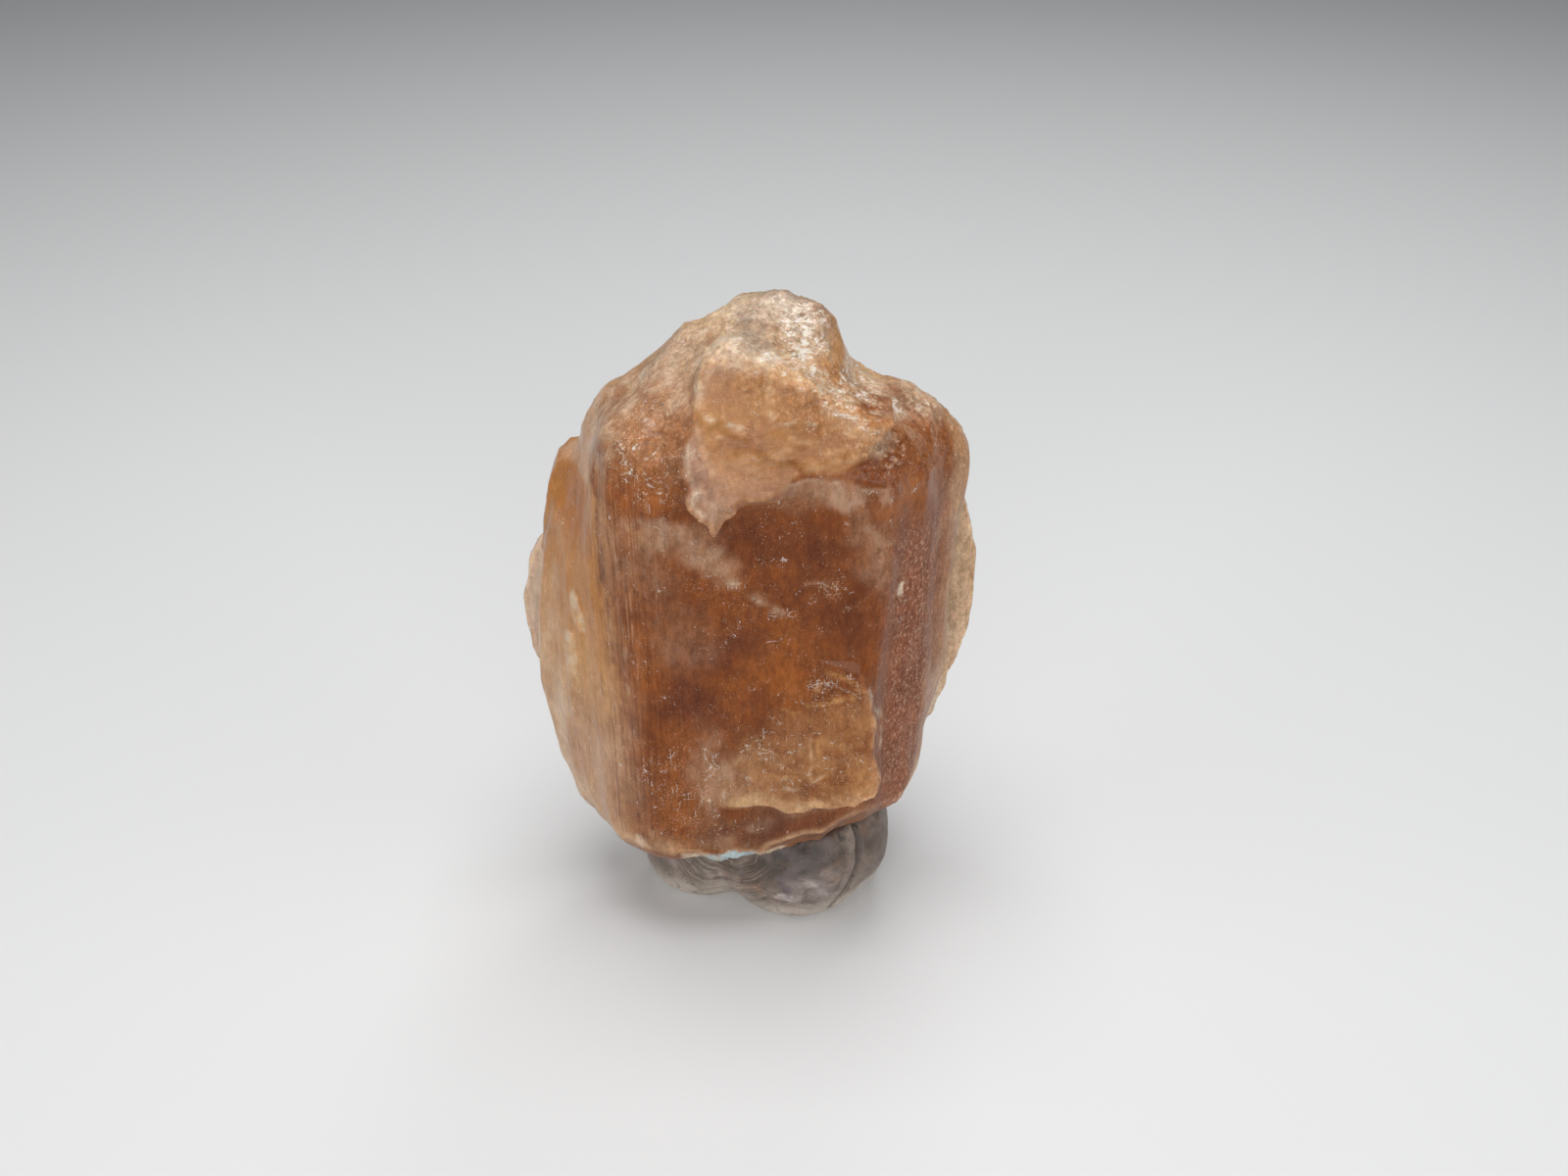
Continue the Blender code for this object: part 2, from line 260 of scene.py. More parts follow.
body = bmesh.new()
body.from_mesh(crystal.data)
apart = near_line(np.array([corner.co / MM for corner in body.verts]), MELT_LINE)
melted = [corner for corner, gap in zip(body.verts, apart) if gap < MELT_REACH and corner.co.y < 0]
smooth(body, melted, MELT_ROUNDS)
body.to_mesh(crystal.data)
body.free()


# Relief of the crystal's skin
# Grown and broken in one piece with the crystal: faint upright ribs and terraces on its sides,
# a glassy front with a few small pits, and a flaky, broken top.
RIB_SPACING, RIB_LENGTH, RIB_HEIGHT = 0.42, 20.0, 0.018
STEP_SPACING, STEP_LENGTH, STEP_HEIGHT = 2.2, 18.0, 0.13
STEPS = 6  # between the lowest and the highest terrace
CHIP_SPACING, CHIP_HEIGHT = 0.5, 0.07
SWELL_SPACING, SWELL_HEIGHT = 2.6, 0.05
DIMPLE_SPACING, DIMPLE_HEIGHT = 0.9, 0.02
PIT_DEPTH = 0.06
UPPER_FACET = [
    # the upper plate's own raised part, as (x, z)
    (-2.2, 24.1), (-1.4, 23.9), (-0.6, 23.4), (-0.3, 22.9), (0.6, 22.6), (2.0, 22.7), (3.0, 23.1),
    (4.4, 24.0), (2.0, 26.4), (-1.3, 27.0), (-3.0, 26.0), (-2.8, 24.6),
]
FACET_HEIGHT = 0.09
LEAVES = [
    # thin pale leaves lying on the left side, as (x, z)
    [(-7.65, 15.0), (-7.6, 15.7), (-7.4, 16.1), (-7.15, 15.9), (-7.05, 15.2), (-7.15, 14.5), (-7.4, 14.4)],
    [(-8.05, 13.2), (-7.9, 13.9), (-7.6, 14.0), (-7.5, 13.3), (-7.55, 12.4), (-7.75, 11.9), (-8.0, 12.1)],
]
LEAF_HEIGHT = 0.09
CRUST = [(-3.5, 4.75), (-2.4, 4.68), (-1.6, 4.88), (-0.8, 4.9), (0.2, 5.0)]  # of old tack, x, z
CRUST_DROP = 0.26  # how far it hangs under the edge
CRUST_THICKEST, CRUST_REACH = -1.7, 1.1  # x of its thickest place, and how far it reaches from there
PITS = [
    # x, z, half width, half height
    (-4.2, 23.2, 0.40, 0.26), (-5.1, 22.8, 0.36, 0.60), (-4.0, 22.0, 0.52, 0.34), (-3.3, 22.7, 0.28, 0.36),
    (-3.9, 24.1, 0.42, 0.28), (1.7, 17.8, 0.5, 0.3), (4.4, 17.0, 0.2, 0.3), (2.2, 13.5, 0.5, 0.2),
    (2.9, 12.6, 0.35, 0.25), (0.4, 9.0, 0.3, 0.3),
]


def ease(low, high, value):
    """0 at low, 1 at high and smooth between."""
    share = np.clip((value - low) / (high - low), 0.0, 1.0)
    return share * share * (3 - 2 * share)


def waves(spots, across, up=None, shift=0.0):
    """Noise from -1 to 1 at each spot, its waves this wide and this high."""
    tall = up or across
    return np.array([noise.noise((x / across + shift, y / across, z / tall)) for x, y, z in spots])


def chips(spots, spacing):
    """Height of a surface broken in small flat facets, each tilted its own way."""
    heights = []
    for spot in spots:
        place = Vector(spot) / spacing
        middle = noise.voronoi(place)[1][0]
        heights.append((place - middle).dot(noise.cell_vector(middle * 7.3) - Vector((0.5, 0.5, 0.5))) * 2)
    return np.array(heights)


def treads(spots):
    """Height of the sides' terraces, as treads with steep risers."""
    level = STEPS * (0.5 + 0.5 * waves(spots, STEP_SPACING, STEP_LENGTH) + 0.05 * waves(spots, 0.4, 1.6))
    return (np.floor(level) + ease(0.75, 1.0, level - np.floor(level))) / STEPS - 0.5


def pits(spots):
    """How far each place on the front lies inside a pit, 0 to 1."""
    x, y, z = spots.T
    ragged = 0.5 * waves(spots, 0.35)
    deepest = np.zeros(len(spots))
    for middle_x, middle_z, wide, tall in PITS:
        apart = np.hypot((x - middle_x) / wide, (z - middle_z) / tall) + ragged
        deepest = np.maximum(deepest, ease(1.05, 0.75, apart))
    return deepest * ease(-1.5, -2.0, y)


def torn(spots, reach, spacing, shift):
    """The same places, shaken across and up so that a border drawn with them is ragged."""
    across = waves(spots, spacing)
    up = waves(spots, spacing, shift=shift)
    return spots + reach * np.column_stack([across, np.zeros(len(spots)), up])


def crust_thickness(spots):
    """1 where the crust is thickest, less to either side."""
    return np.exp(-((spots[:, 0] - CRUST_THICKEST) / CRUST_REACH) ** 2)


def brokenness(spots, ways):
    """1 on the broken top and foot, 0 on the grown faces."""
    x, y, z = spots.T
    top = ease(0.25, 0.6, ways[:, 2]) * ease(18.5, 21.5, z)
    from_crest = np.abs(z - 25.4 + 0.52 * (x + 0.6))
    crest = ease(1.5, 0.4, from_crest) * ease(-1.8, -0.8, x) * ease(0.5, -0.5, y)
    foot = 0.5 * ease(0.2, 0.5, -ways[:, 2])
    return np.maximum(np.maximum(top, crest), foot)


def on_plate(spots, plate):
    """How far each place on a plate's face lies inside its border, negative off the plate."""
    x, y, z = spots.T
    face = plate["face"] + plate["across"] * x + plate["up"] * (z - plate["height"])
    return np.where(np.abs(y - face) < FACE_REACH, inset(spots, plate["outline"]), -9.0)


def places_of(data):
    values = np.empty(len(data.vertices) * 3)
    data.vertices.foreach_get("co", values)
    return values.reshape(-1, 3)


def ways_of(data):
    """Which way the skin looks at each corner."""
    values = np.empty(len(data.vertices) * 3)
    data.vertex_normals.foreach_get("vector", values)
    return values.reshape(-1, 3)


spots = places_of(crystal.data) / MM
ways = ways_of(crystal.data)
broken = brokenness(spots, ways)
side = ease(0.35, 0.7, np.abs(ways[:, 0])) * (1 - broken)
ribs = waves(spots, RIB_SPACING, RIB_LENGTH) + 0.6 * waves(spots * 2.3, RIB_SPACING, RIB_LENGTH)
height = RIB_HEIGHT * ribs * (0.3 + side)
height += STEP_HEIGHT * treads(spots) * side * ease(3.0, -3.0, spots[:, 0]) * ease(22.5, 20.5, spots[:, 2])
chipped = broken * (0.45 + 0.55 * ease(-3.4, -2.2, spots[:, 0]))
height += CHIP_HEIGHT * (chips(spots, CHIP_SPACING) + 0.5 * chips(spots, CHIP_SPACING / 2.1)) * chipped
height += SWELL_HEIGHT * waves(spots, SWELL_SPACING) + DIMPLE_HEIGHT * waves(spots, DIMPLE_SPACING)
height -= PIT_DEPTH * pits(spots)
for leaf in LEAVES:
    height += LEAF_HEIGHT * ease(-0.05, 0.08, inset(spots, leaf)) * ease(1.0, 0.0, spots[:, 1])
height += 0.08 * waves(spots, 0.22) * ease(0.35, 0.1, near_line(spots, CRUST)) * ease(-2.6, -3.0, spots[:, 1])
on_upper = ease(-0.1, 0.2, on_plate(spots, UPPER_PLATE))
height += on_upper * FACET_HEIGHT * ease(-0.06, 0.1, inset(torn(spots, 0.25, 0.5, 9.0), UPPER_FACET))
height += on_upper * (0.06 * waves(spots, 1.2, 0.7) - 0.05 * np.abs(waves(spots, 1.8, 0.5, 5.0)))
crust = ease(0.45, 0.15, near_line(spots, CRUST)) * ease(-2.9, -3.3, spots[:, 1])
spots[:, 2] -= CRUST_DROP * crust * crust_thickness(spots) * (0.8 + 0.9 * waves(spots, 0.3))
low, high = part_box("crystal")
moved = np.clip((spots + ways * height[:, None]) * MM, np.array(low), np.array(high))
crystal.data.vertices.foreach_set("co", moved.ravel())
crystal.data.update()


# Colour of the crystal
# Clouds and veils inside the stone, and pale bruises where it is broken. Painted light is laid in
# too: a painted glow where the stone is thin, painted highlights on raised places, on the side
# plates and as sparkles on the crest, painted shade in hollows and under the foot, and painted
# bounce light on its lower faces. The other colours are those of the stone in plain light, and
# each stroke lays one over what is there already.
AMBER = (0.232, 0.060, 0.009)
EMBER = (0.180, 0.042, 0.007)
GARNET = (0.140, 0.031, 0.008)
FLAME = (0.36, 0.102, 0.014)
BROWN = (0.34, 0.14, 0.055)
HONEY = (0.48, 0.20, 0.05)
GOLD = (0.66, 0.34, 0.11)
UMBER = (0.20, 0.085, 0.038)
TAN = (0.60, 0.32, 0.13)
LILAC = (0.55, 0.34, 0.22)
PLUM = (0.26, 0.082, 0.036)
VEIL = (0.42, 0.23, 0.13)
DUST = (0.33, 0.25, 0.19)
PEACH = (0.68, 0.42, 0.22)
CREAM = (0.72, 0.56, 0.40)
FROST = (0.84, 0.76, 0.68)
SMEAR = (0.40, 0.54, 0.57)  # left by tack of another colour
WARP_SHIFTS = (0.0, 40.0, 80.0)  # so that the borders wander across, in and up on their own
BULGE_ROUNDS, CALMING_ROUNDS = 4, 2  # how wide the skin is on which a place stands out
UNDER_SKIN, THICK = 0.05, 10.0  # where thickness is measured from, and what counts as solid

STROKES = [
    # colour, x, z, half width, half height, turn in degrees, softness, strength
    (BROWN, -4.5, 23.5, 2.3, 1.6, 26, 0.4, 1.0),
    (FLAME, -4.3, 21.5, 0.9, 0.9, 0, 0.7, 0.9),
    (FLAME, -5.0, 17.0, 0.5, 3.4, 0, 0.8, 0.4),
    (FLAME, -1.9, 14.6, 0.5, 1.4, 6, 0.8, 0.4),
    (FLAME, 0.4, 14.0, 0.9, 2.2, 6, 0.9, 0.6),
    (FLAME, -3.6, 8.8, 0.9, 2.6, 0, 0.8, 0.4),
    (FLAME, -4.2, 13.6, 0.6, 2.2, 0, 0.8, 0.4),
    (EMBER, -0.3, 19.8, 2.4, 0.9, -6, 0.6, 0.9),
    (EMBER, 1.6, 18.2, 2.2, 1.4, 0, 0.7, 0.6),
    (EMBER, -3.2, 18.2, 1.4, 0.8, 0, 0.7, 0.6),
    (GARNET, -1.9, 15.2, 1.3, 0.8, 14, 0.6, 0.8),
    (GARNET, -3.1, 12.8, 1.1, 1.4, 20, 0.6, 0.8),
    (GARNET, 2.7, 16.6, 1.4, 1.6, 0, 0.8, 0.4),
    (EMBER, -0.8, 11.8, 2.0, 1.2, 0, 0.8, 0.5),
    (EMBER, -3.6, 10.4, 0.8, 1.6, 0, 0.8, 0.5),
    (VEIL, -3.9, 20.0, 1.6, 0.55, -4, 0.8, 0.7),
    (VEIL, -4.6, 18.8, 1.0, 1.6, 0, 0.9, 0.3),
    (VEIL, 3.5, 19.6, 0.6, 1.6, 10, 0.9, 0.5),
    (VEIL, -3.4, 15.6, 1.0, 1.2, 0, 0.9, 0.25),
    (VEIL, -2.6, 8.8, 0.5, 2.2, 0, 0.9, 0.4),
    (VEIL, -2.2, 19.0, 1.0, 0.45, -30, 0.9, 0.6),
    (VEIL, 2.7, 21.5, 1.9, 0.5, -4, 0.7, 0.8),
    (VEIL, -1.6, 9.2, 0.9, 0.9, 30, 0.8, 0.6),
    (UMBER, -0.2, 6.2, 3.0, 1.0, 6, 0.4, 0.8),
    (GARNET, -0.6, 6.3, 2.4, 0.7, 4, 0.7, 0.7),
    (EMBER, 1.6, 6.8, 1.0, 0.5, 12, 0.6, 0.6),
    (VEIL, -0.6, 6.5, 0.4, 0.3, 0, 0.8, 0.35),
    (VEIL, -2.2, 5.7, 0.5, 0.4, 0, 0.8, 0.35),
    (AMBER, 5.0, 21.8, 2.2, 1.6, -30, 0.6, 0.9),
    (BROWN, 5.4, 22.4, 1.6, 0.8, -34, 0.8, 0.5),
    (EMBER, 4.0, 21.9, 0.7, 0.8, -30, 0.7, 0.7),
    (LILAC, -3.3, 25.2, 0.7, 0.6, 20, 0.5, 0.7),
    (CREAM, -8.7, 8.6, 0.35, 3.0, -10, 0.8, 0.4),
    (HONEY, -7.7, 18.6, 1.3, 2.4, 8, 0.8, 0.9),
    (FLAME, 5.3, 21.8, 1.5, 1.1, -30, 0.8, 0.6),
    (FLAME, -7.4, 19.7, 0.8, 1.4, 8, 0.8, 0.55),
    (FLAME, -5.2, 21.1, 0.5, 1.5, 0, 0.8, 0.6),
    (LILAC, -7.2, 8.2, 1.3, 2.8, -8, 0.9, 0.6),
    (LILAC, -8.6, 12.4, 0.5, 2.4, -4, 0.9, 0.4),
    (CREAM, -5.2, 5.1, 0.32, 0.40, 20, 0.5, 0.8),
    (CREAM, 4.45, 17.0, 0.14, 0.25, 0, 0.3, 0.8),
]
CREST_STROKES = [
    (CREAM, -1.9, 26.0, 1.5, 0.7, 22, 0.6, 0.55),
    (DUST, -0.2, 26.9, 1.6, 0.7, 0, 0.7, 0.9),
    (DUST, 1.0, 26.3, 1.0, 0.8, 0, 0.7, 0.6),
    (CREAM, -0.5, 25.95, 1.2, 0.28, -14, 0.8, 0.75),
    (PEACH, 0.5, 25.4, 1.3, 0.40, -20, 0.7, 0.6),
    (PEACH, 1.9, 24.7, 1.6, 0.35, -35, 0.7, 0.55),
    (PEACH, 3.3, 23.8, 1.0, 0.35, -30, 0.7, 0.5),
    (TAN, 2.5, 25.6, 0.6, 1.0, 20, 0.6, 0.6),
    (BROWN, -1.5, 25.1, 0.9, 0.5, 0, 0.8, 0.6),
    (BROWN, 1.0, 24.6, 0.8, 0.36, -20, 0.7, 0.5),
    (BROWN, -1.0, 23.5, 0.8, 0.32, -12, 0.4, 0.85),
    (AMBER, 0.55, 22.75, 0.6, 0.15, 0, 0.4, 0.8),
    (BROWN, 2.2, 23.4, 0.9, 0.25, 0, 0.6, 0.4),
    (LILAC, -1.1, 22.3, 1.1, 0.6, 0, 0.7, 0.2),
]
SPARKLES = [
    # painted sparkles, the brightest broken places: x, y, z, reach, strength
    (-0.3, -2.1, 26.0, 0.5, 0.75), (1.1, -1.3, 25.6, 0.5, 0.85), (1.6, -1.8, 25.1, 0.5, 0.75),
    (2.3, -2.2, 24.5, 0.5, 0.8), (4.0, -0.8, 23.4, 0.8, 0.74), (3.2, 0.1, 23.8, 0.9, 0.6),
    (0.9, -0.7, 26.1, 0.8, 0.75), (1.7, -0.5, 25.8, 0.6, 0.72), (0.1, 0.4, 26.7, 0.8, 0.45),
    (-1.5, -1.9, 26.5, 0.7, 0.6), (5.3, 0.6, 23.1, 1.2, 0.6), (-4.3, -0.3, 24.5, 0.6, 0.6),
    (-2.5, -3.9, 23.6, 0.3, 0.6), (-2.4, -4.2, 21.6, 0.35, 0.6), (-1.9, -4.2, 21.2, 0.3, 0.6),
    (3.6, -3.0, 23.0, 0.5, 0.6), (-2.0, -3.7, 24.3, 0.3, 0.6), (-3.3, 0.1, 25.4, 0.6, 0.5),
    (4.7, -2.0, 22.6, 0.5, 0.5),
]
GROWTH_LINES = [
    # colour, points as (x, z), half width, strength
    (PEACH, [(-0.1, 25.4), (-0.1, 24.2)], 0.24, 0.8),
    (CREAM, [(-0.1, 24.5), (-0.05, 24.2)], 0.12, 0.7),
    (PEACH, [(-1.8, 23.7), (-1.3, 23.8), (-0.6, 23.75), (-0.2, 23.3), (0.2, 22.9)], 0.10, 0.7),
    (PEACH, [(0.5, 23.6), (1.4, 23.45), (2.4, 23.7), (3.2, 23.5)], 0.12, 0.5),
    (PEACH, [(0.3, 23.15), (1.2, 23.2), (2.1, 23.1), (3.1, 23.3)], 0.10, 0.5),
    (PEACH, [(0.1, 22.95), (1.0, 22.75), (2.0, 22.75), (3.0, 22.9), (3.7, 23.1)], 0.26, 0.6),
    (CREAM, [(-2.3, 24.35), (-1.8, 24.15), (-1.4, 24.1), (-1.1, 24.0)], 0.13, 0.9),
    (CREAM, [(0.1, 24.0), (0.7, 24.05), (1.4, 24.0)], 0.08, 0.9),
    (CREAM, [(-0.07, 8.7), (1.06, 8.83), (1.5, 9.24), (1.96, 9.7), (2.5, 10.15), (2.65, 10.5)], 0.10, 0.55),
    (PEACH, [(1.4, 11.7), (1.4, 10.15), (1.5, 9.3)], 0.10, 0.6),
    (PEACH, [(-1.6, 9.3), (-1.3, 10.0), (-0.9, 10.5)], 0.12, 0.6),
    (PEACH, [(0.5, 9.0), (0.2, 9.9), (-0.4, 10.3)], 0.08, 0.5),
    (CREAM, [(0.4, 22.0), (1.2, 22.2), (2.4, 22.0), (3.8, 21.8)], 0.12, 0.4),
    (CREAM, [(-2.4, 25.6), (-2.5, 24.8), (-2.5, 24.0)], 0.26, 0.6),
    (CREAM, [(-2.7, 23.6), (-2.8, 22.8), (-2.6, 22.0), (-2.5, 21.4), (-1.9, 20.7)], 0.14, 0.6),
    (VEIL, [(-2.6, 19.0), (-1.9, 18.6), (-1.3, 18.0), (-0.4, 17.5), (0.2, 16.8)], 0.35, 0.6),
    (CREAM, [(-1.5, 18.1), (-1.0, 18.0), (-0.5, 17.3), (0.1, 17.1), (0.5, 16.7)], 0.12, 0.5),
    (VEIL, [(1.3, 18.0), (1.9, 18.2), (2.4, 17.8)], 0.16, 0.5),
    (CREAM, [(3.5, 13.6), (3.75, 12.5), (4.0, 11.8), (4.05, 10.2)], 0.10, 0.6),
    (GOLD, [(1.2, 12.6), (2.0, 12.9), (2.9, 13.25)], 0.16, 0.7),
    (GOLD, [(2.0, 14.2), (2.7, 14.0), (3.3, 13.6)], 0.14, 0.6),
    (GOLD, [(1.4, 13.6), (2.0, 13.5)], 0.16, 0.5),
    (GOLD, [(0.4, 12.4), (1.3, 12.0)], 0.14, 0.4),
    (GOLD, [(1.8, 11.8), (1.7, 10.4)], 0.14, 0.5),
    (GARNET, [(1.6, 13.1), (2.5, 13.5), (2.9, 13.6)], 0.20, 0.9),
    (EMBER, [(-6.15, 23.4), (-6.05, 21.0), (-6.0, 18.0), (-5.9, 14.0)], 0.16, 0.7),
    (LILAC, [(-5.6, 20.0), (-5.5, 17.0), (-5.4, 13.0)], 0.14, 0.45),
    (EMBER, [(-5.3, 19.0), (-5.2, 14.0), (-5.1, 9.0)], 0.14, 0.6),
]
SHOULDER_EDGE = [(-3.6, 24.9), (-4.7, 24.1), (-5.7, 23.5), (-6.3, 22.7)]  # pale, x, z
SCRATCHED = [
    # x, z, half width, half height, strength
    (0.3, 16.7, 0.9, 0.4, 1.0), (1.9, 17.9, 0.7, 0.5, 1.0), (2.9, 17.0, 0.5, 0.3, 0.8),
    (2.2, 13.2, 1.5, 1.2, 0.85), (3.8, 19.5, 0.5, 0.4, 0.9), (-4.2, 22.6, 1.6, 1.4, 0.8),
    (-1.6, 8.6, 1.4, 1.2, 0.6), (1.0, 10.2, 2.6, 1.8, 0.75), (-2.8, 6.4, 1.8, 1.0, 0.6),
    (-5.2, 20.0, 0.7, 2.0, 0.4), (-3.6, 8.2, 1.8, 2.4, 0.8), (-2.4, 9.6, 0.5, 1.4, 1.0),
    (-2.6, 20.0, 2.2, 0.6, 0.4), (-1.0, 18.0, 1.4, 0.3, 0.7),
]
FROSTED = [
    # x, z, half width, half height, turn in degrees, strength
    (1.9, 24.8, 3.0, 0.40, -28, 0.66), (0.9, 26.0, 1.1, 0.9, -20, 0.64), (-0.4, 25.7, 1.4, 0.4, -10, 0.58),
    (-2.4, 25.5, 1.4, 0.4, 20, 0.35), (-5.2, 24.1, 1.2, 0.35, 34, 0.4), (-4.2, 22.6, 1.2, 1.4, 0, 0.2),
    (5.4, 23.0, 1.5, 0.5, -30, 0.45), (-2.4, 22.6, 0.3, 1.2, 0, 0.45), (4.2, 22.6, 0.8, 0.4, -30, 0.34),
]


def lay(colour, share):
    """Lay a colour over the paint, as strongly as the share says at each corner."""
    global paint
    paint = paint + (np.array(colour) - paint) * np.clip(share, 0, 1)[:, None]


def stroke(spots, middle_x, middle_z, wide, tall, turn=0, soft=0.5):
    """How strongly a soft oval stroke covers each place, 0 to 1."""
    across = spots[:, 0] - middle_x
    up = spots[:, 2] - middle_z
    c = math.cos(math.radians(turn))
    s = math.sin(math.radians(turn))
    return ease(1 + soft, 1 - soft, np.hypot((across * c + up * s) / wide, (up * c - across * s) / tall))


def bulge(data):
    """How far each corner stands out from the skin around it."""
    places = places_of(data)
    ends = np.empty(len(data.edges) * 2, dtype=int)
    data.edges.foreach_get("vertices", ends)
    ends = ends.reshape(-1, 2)
    ends = np.concatenate([ends, ends[:, ::-1]])
    linked = np.bincount(ends[:, 0], minlength=len(places))

    def neighbours(values):
        sums = [np.bincount(ends[:, 0], weights=column[ends[:, 1]], minlength=len(places))
                for column in values.T]
        return np.array(sums).T / linked[:, None]

    middle = places
    for k in range(BULGE_ROUNDS):
        middle = neighbours(middle)
    out = ((places - middle) * ways_of(data)).sum(axis=1)[:, None] / MM
    for k in range(CALMING_ROUNDS):
        out = neighbours(out)
    return out[:, 0]


def thickness(thing, spots, ways):
    """How far it is through the stone behind each place."""
    tree = BVHTree.FromObject(thing, bpy.context.evaluated_depsgraph_get())
    depths = []
    for spot, way in zip(spots, ways):
        hit = tree.ray_cast((Vector(spot) - Vector(way) * UNDER_SKIN) * MM, -Vector(way))
        depths.append(hit[3] / MM if hit[3] is not None else THICK)
    return np.array(depths)


def keep_fields(data, fields):
    """Keep the fields and the paint in the mesh, where its material finds them."""
    for name, values in fields.items():
        layer = data.attributes.new(name, "FLOAT", "POINT")
        layer.data.foreach_set("value", values)
    layer = data.attributes.new("paint", "FLOAT_COLOR", "POINT")
    layer.data.foreach_set("color", np.column_stack([paint, np.ones(len(paint))]).ravel())


spots = places_of(crystal.data) / MM
ways = ways_of(crystal.data)
broken = brokenness(spots, ways)
warp = np.column_stack([0.5 * waves(spots, 1.3, shift=shift) + 0.18 * waves(spots, 0.4, shift=shift)
                        for shift in WARP_SHIFTS])
warped = spots + warp
x, y, z = warped.T
stand = bulge(crystal.data)
thin = ease(2.2, 0.5, thickness(crystal, spots, ways))
slow = waves(spots, 2.2)
front = ease(1.5, 0.0, y)
crested = ease(2.8, 1.4, y)
behind = ease(1.6, 3.4, y)
right = ease(5.4, 6.7, x)
plum = ease(3.4, 5.0, x + 0.5 * slow) * (1 - right) * ease(21.0, 18.5, z) * front

# the stone itself, its sides and its back
paint = np.tile(np.array(AMBER), (len(spots), 1))
lay(BROWN, 0.7 * ease(-4.5, -5.6, x))
low_side = ease(-5.3, -6.9, x)
lay(TAN, low_side)
lay(HONEY, low_side * ease(11.5, 17.0, z + 1.5 * slow))
lay(BROWN, 0.15 * low_side + 0.35 * low_side * ease(12.0, 8.0, z))
lay(PLUM, 0.9 * plum)
lay(BROWN, right)
lay(LILAC, 0.45 * right * ease(14.0, 8.0, z))
lay(BROWN, 0.9 * behind)
lay(TAN, 0.6 * behind * ease(-0.2, 0.6, waves(warped, 2.6, 5.0)))
lay(EMBER, 0.6 * behind * ease(0.0, 0.5, waves(warped, 2.2, 4.2, 5.0)))
lay(VEIL, 0.6 * behind * ease(0.1, 0.5, waves(warped, 1.5, 2.6, 11.0)))
lay(PEACH, 0.55 * broken * ease(22.8, 25.0, z - 0.35 * np.abs(x + 1)))
lay(PEACH, 0.7 * ease(-0.2, 0.9, y) * ease(20.0, 22.5, z) * ease(5.0, 2.4, y))

# clouds and veils of the front
for colour, middle_x, middle_z, wide, tall, turn, soft, strength in STROKES:
    lay(colour, stroke(warped, middle_x, middle_z, wide, tall, turn, soft) * strength * front)
lay(CREAM, 0.35 * ease(-8.0, -9.0, x) * front)
lay(PEACH, 0.45 * ease(6.3, 7.0, x) * front)
lay(LILAC, 0.75 * ease(-6.05, -6.25, x) * ease(20.4, 21.0, z) * ease(24.0, 23.2, z) * ease(1.8, 1.2, y))

# the upper plate, its flake, and the broken crest behind it
upper = on_plate(spots, UPPER_PLATE)
lay(TAN, 0.55 * ease(-0.1, 0.15, upper))
lay(HONEY, 0.25 * ease(-0.1, 0.4, upper))
lay(BROWN, 0.72 * ease(-0.1, 0.3, upper) * ease(23.0, 22.0, z))
lay(LILAC, 0.25 * ease(0.9, 0.2, np.abs(upper)) * ease(22.6, 21.8, z))
flake = on_plate(spots, CLIFF_FLAKE)
lay(LILAC, 0.35 * ease(-0.1, 0.15, flake))
for colour, middle_x, middle_z, wide, tall, turn, soft, strength in CREST_STROKES:
    lay(colour, stroke(warped, middle_x, middle_z, wide, tall, turn, soft) * strength * crested)
# painted sparkles: pale spots laid on the broken crest as highlights
sparkle = np.zeros(len(spots))
for middle_x, middle_y, middle_z, reach, strength in SPARKLES:
    apart = np.linalg.norm(warped - np.array((middle_x, middle_y, middle_z)), axis=1) / reach
    sparkle = np.maximum(sparkle, strength * ease(1.5, 0.5, apart))
lay(CREAM, 0.6 * sparkle)

# the lower plate, and the thin plates at both sides
lower = on_plate(spots, LOWER_PLATE)
on_lower = ease(-0.1, 0.1, lower) * ease(13.6, 10.6, z - 0.5 * (x - 2)) * ease(-2.2, -0.6, x)
lay(BROWN, 0.85 * on_lower)
lay(TAN, 0.2 * on_lower)
lay(HONEY, 0.25 * on_lower * ease(0.5, 2.5, x))
pale_border = ease(0.9, 0.1, np.abs(lower)) * ease(-0.15, 0.0, lower)
lay(PEACH, 0.9 * pale_border * ease(9.8, 8.3, z) * ease(-2.4, -1.2, x))
# painted light: the pale borders of the thin side plates are laid stronger where they face the front, as lit
# from there and shining through
forward = 0.3 + 0.7 * ease(0.1, -0.4, ways[:, 1])
right_plate = on_plate(spots, RIGHT_PLATE)
lay(CREAM, 0.85 * forward * ease(1.6, 0.7, right_plate) * ease(-0.3, -0.1, right_plate) * ease(6.2, 6.6, x))
# the left plate's rim: painted light on its thin border, strongest where it faces the front
left_plate = inset(spots, LEFT_PLATE["outline"])
lit_rim = ease(-0.3, 0.1, left_plate) * ease(1.2, 2.2, spots[:, 1] + 0.5 * slow) * ease(-7.8, -8.8, spots[:, 0])
lit_rim *= np.maximum(ease(0.2, 1.6, left_plate + warp[:, 2]), ease(2.1, 2.5, spots[:, 1]))
lay(CREAM, (0.4 + 0.6 * forward) * lit_rim)
lay(FROST, 0.7 * forward * lit_rim)

# growth lines, the pale shoulder and the leaves
patchy = ease(-0.35, 0.25, waves(spots, 0.45))
for colour, line, wide, strength in GROWTH_LINES:
    lay(colour, strength * patchy * ease(wide, 0.0, near_line(spots + 0.35 * warp, line)) * front)
shoulder = ease(0.9, 0.1, near_line(warped, SHOULDER_EDGE)) * ease(2.0, 0.6, y)
lay(CREAM, (0.15 + 0.3 * patchy) * shoulder)
for leaf in LEAVES:
    edge = inset(spots + 0.3 * warp, leaf)
    lay(PEACH, (0.5 + 0.3 * patchy) * ease(-0.12, 0.15, edge) * front)
    lay(CREAM, 0.55 * patchy * ease(-0.08, 0.06, edge) * front)
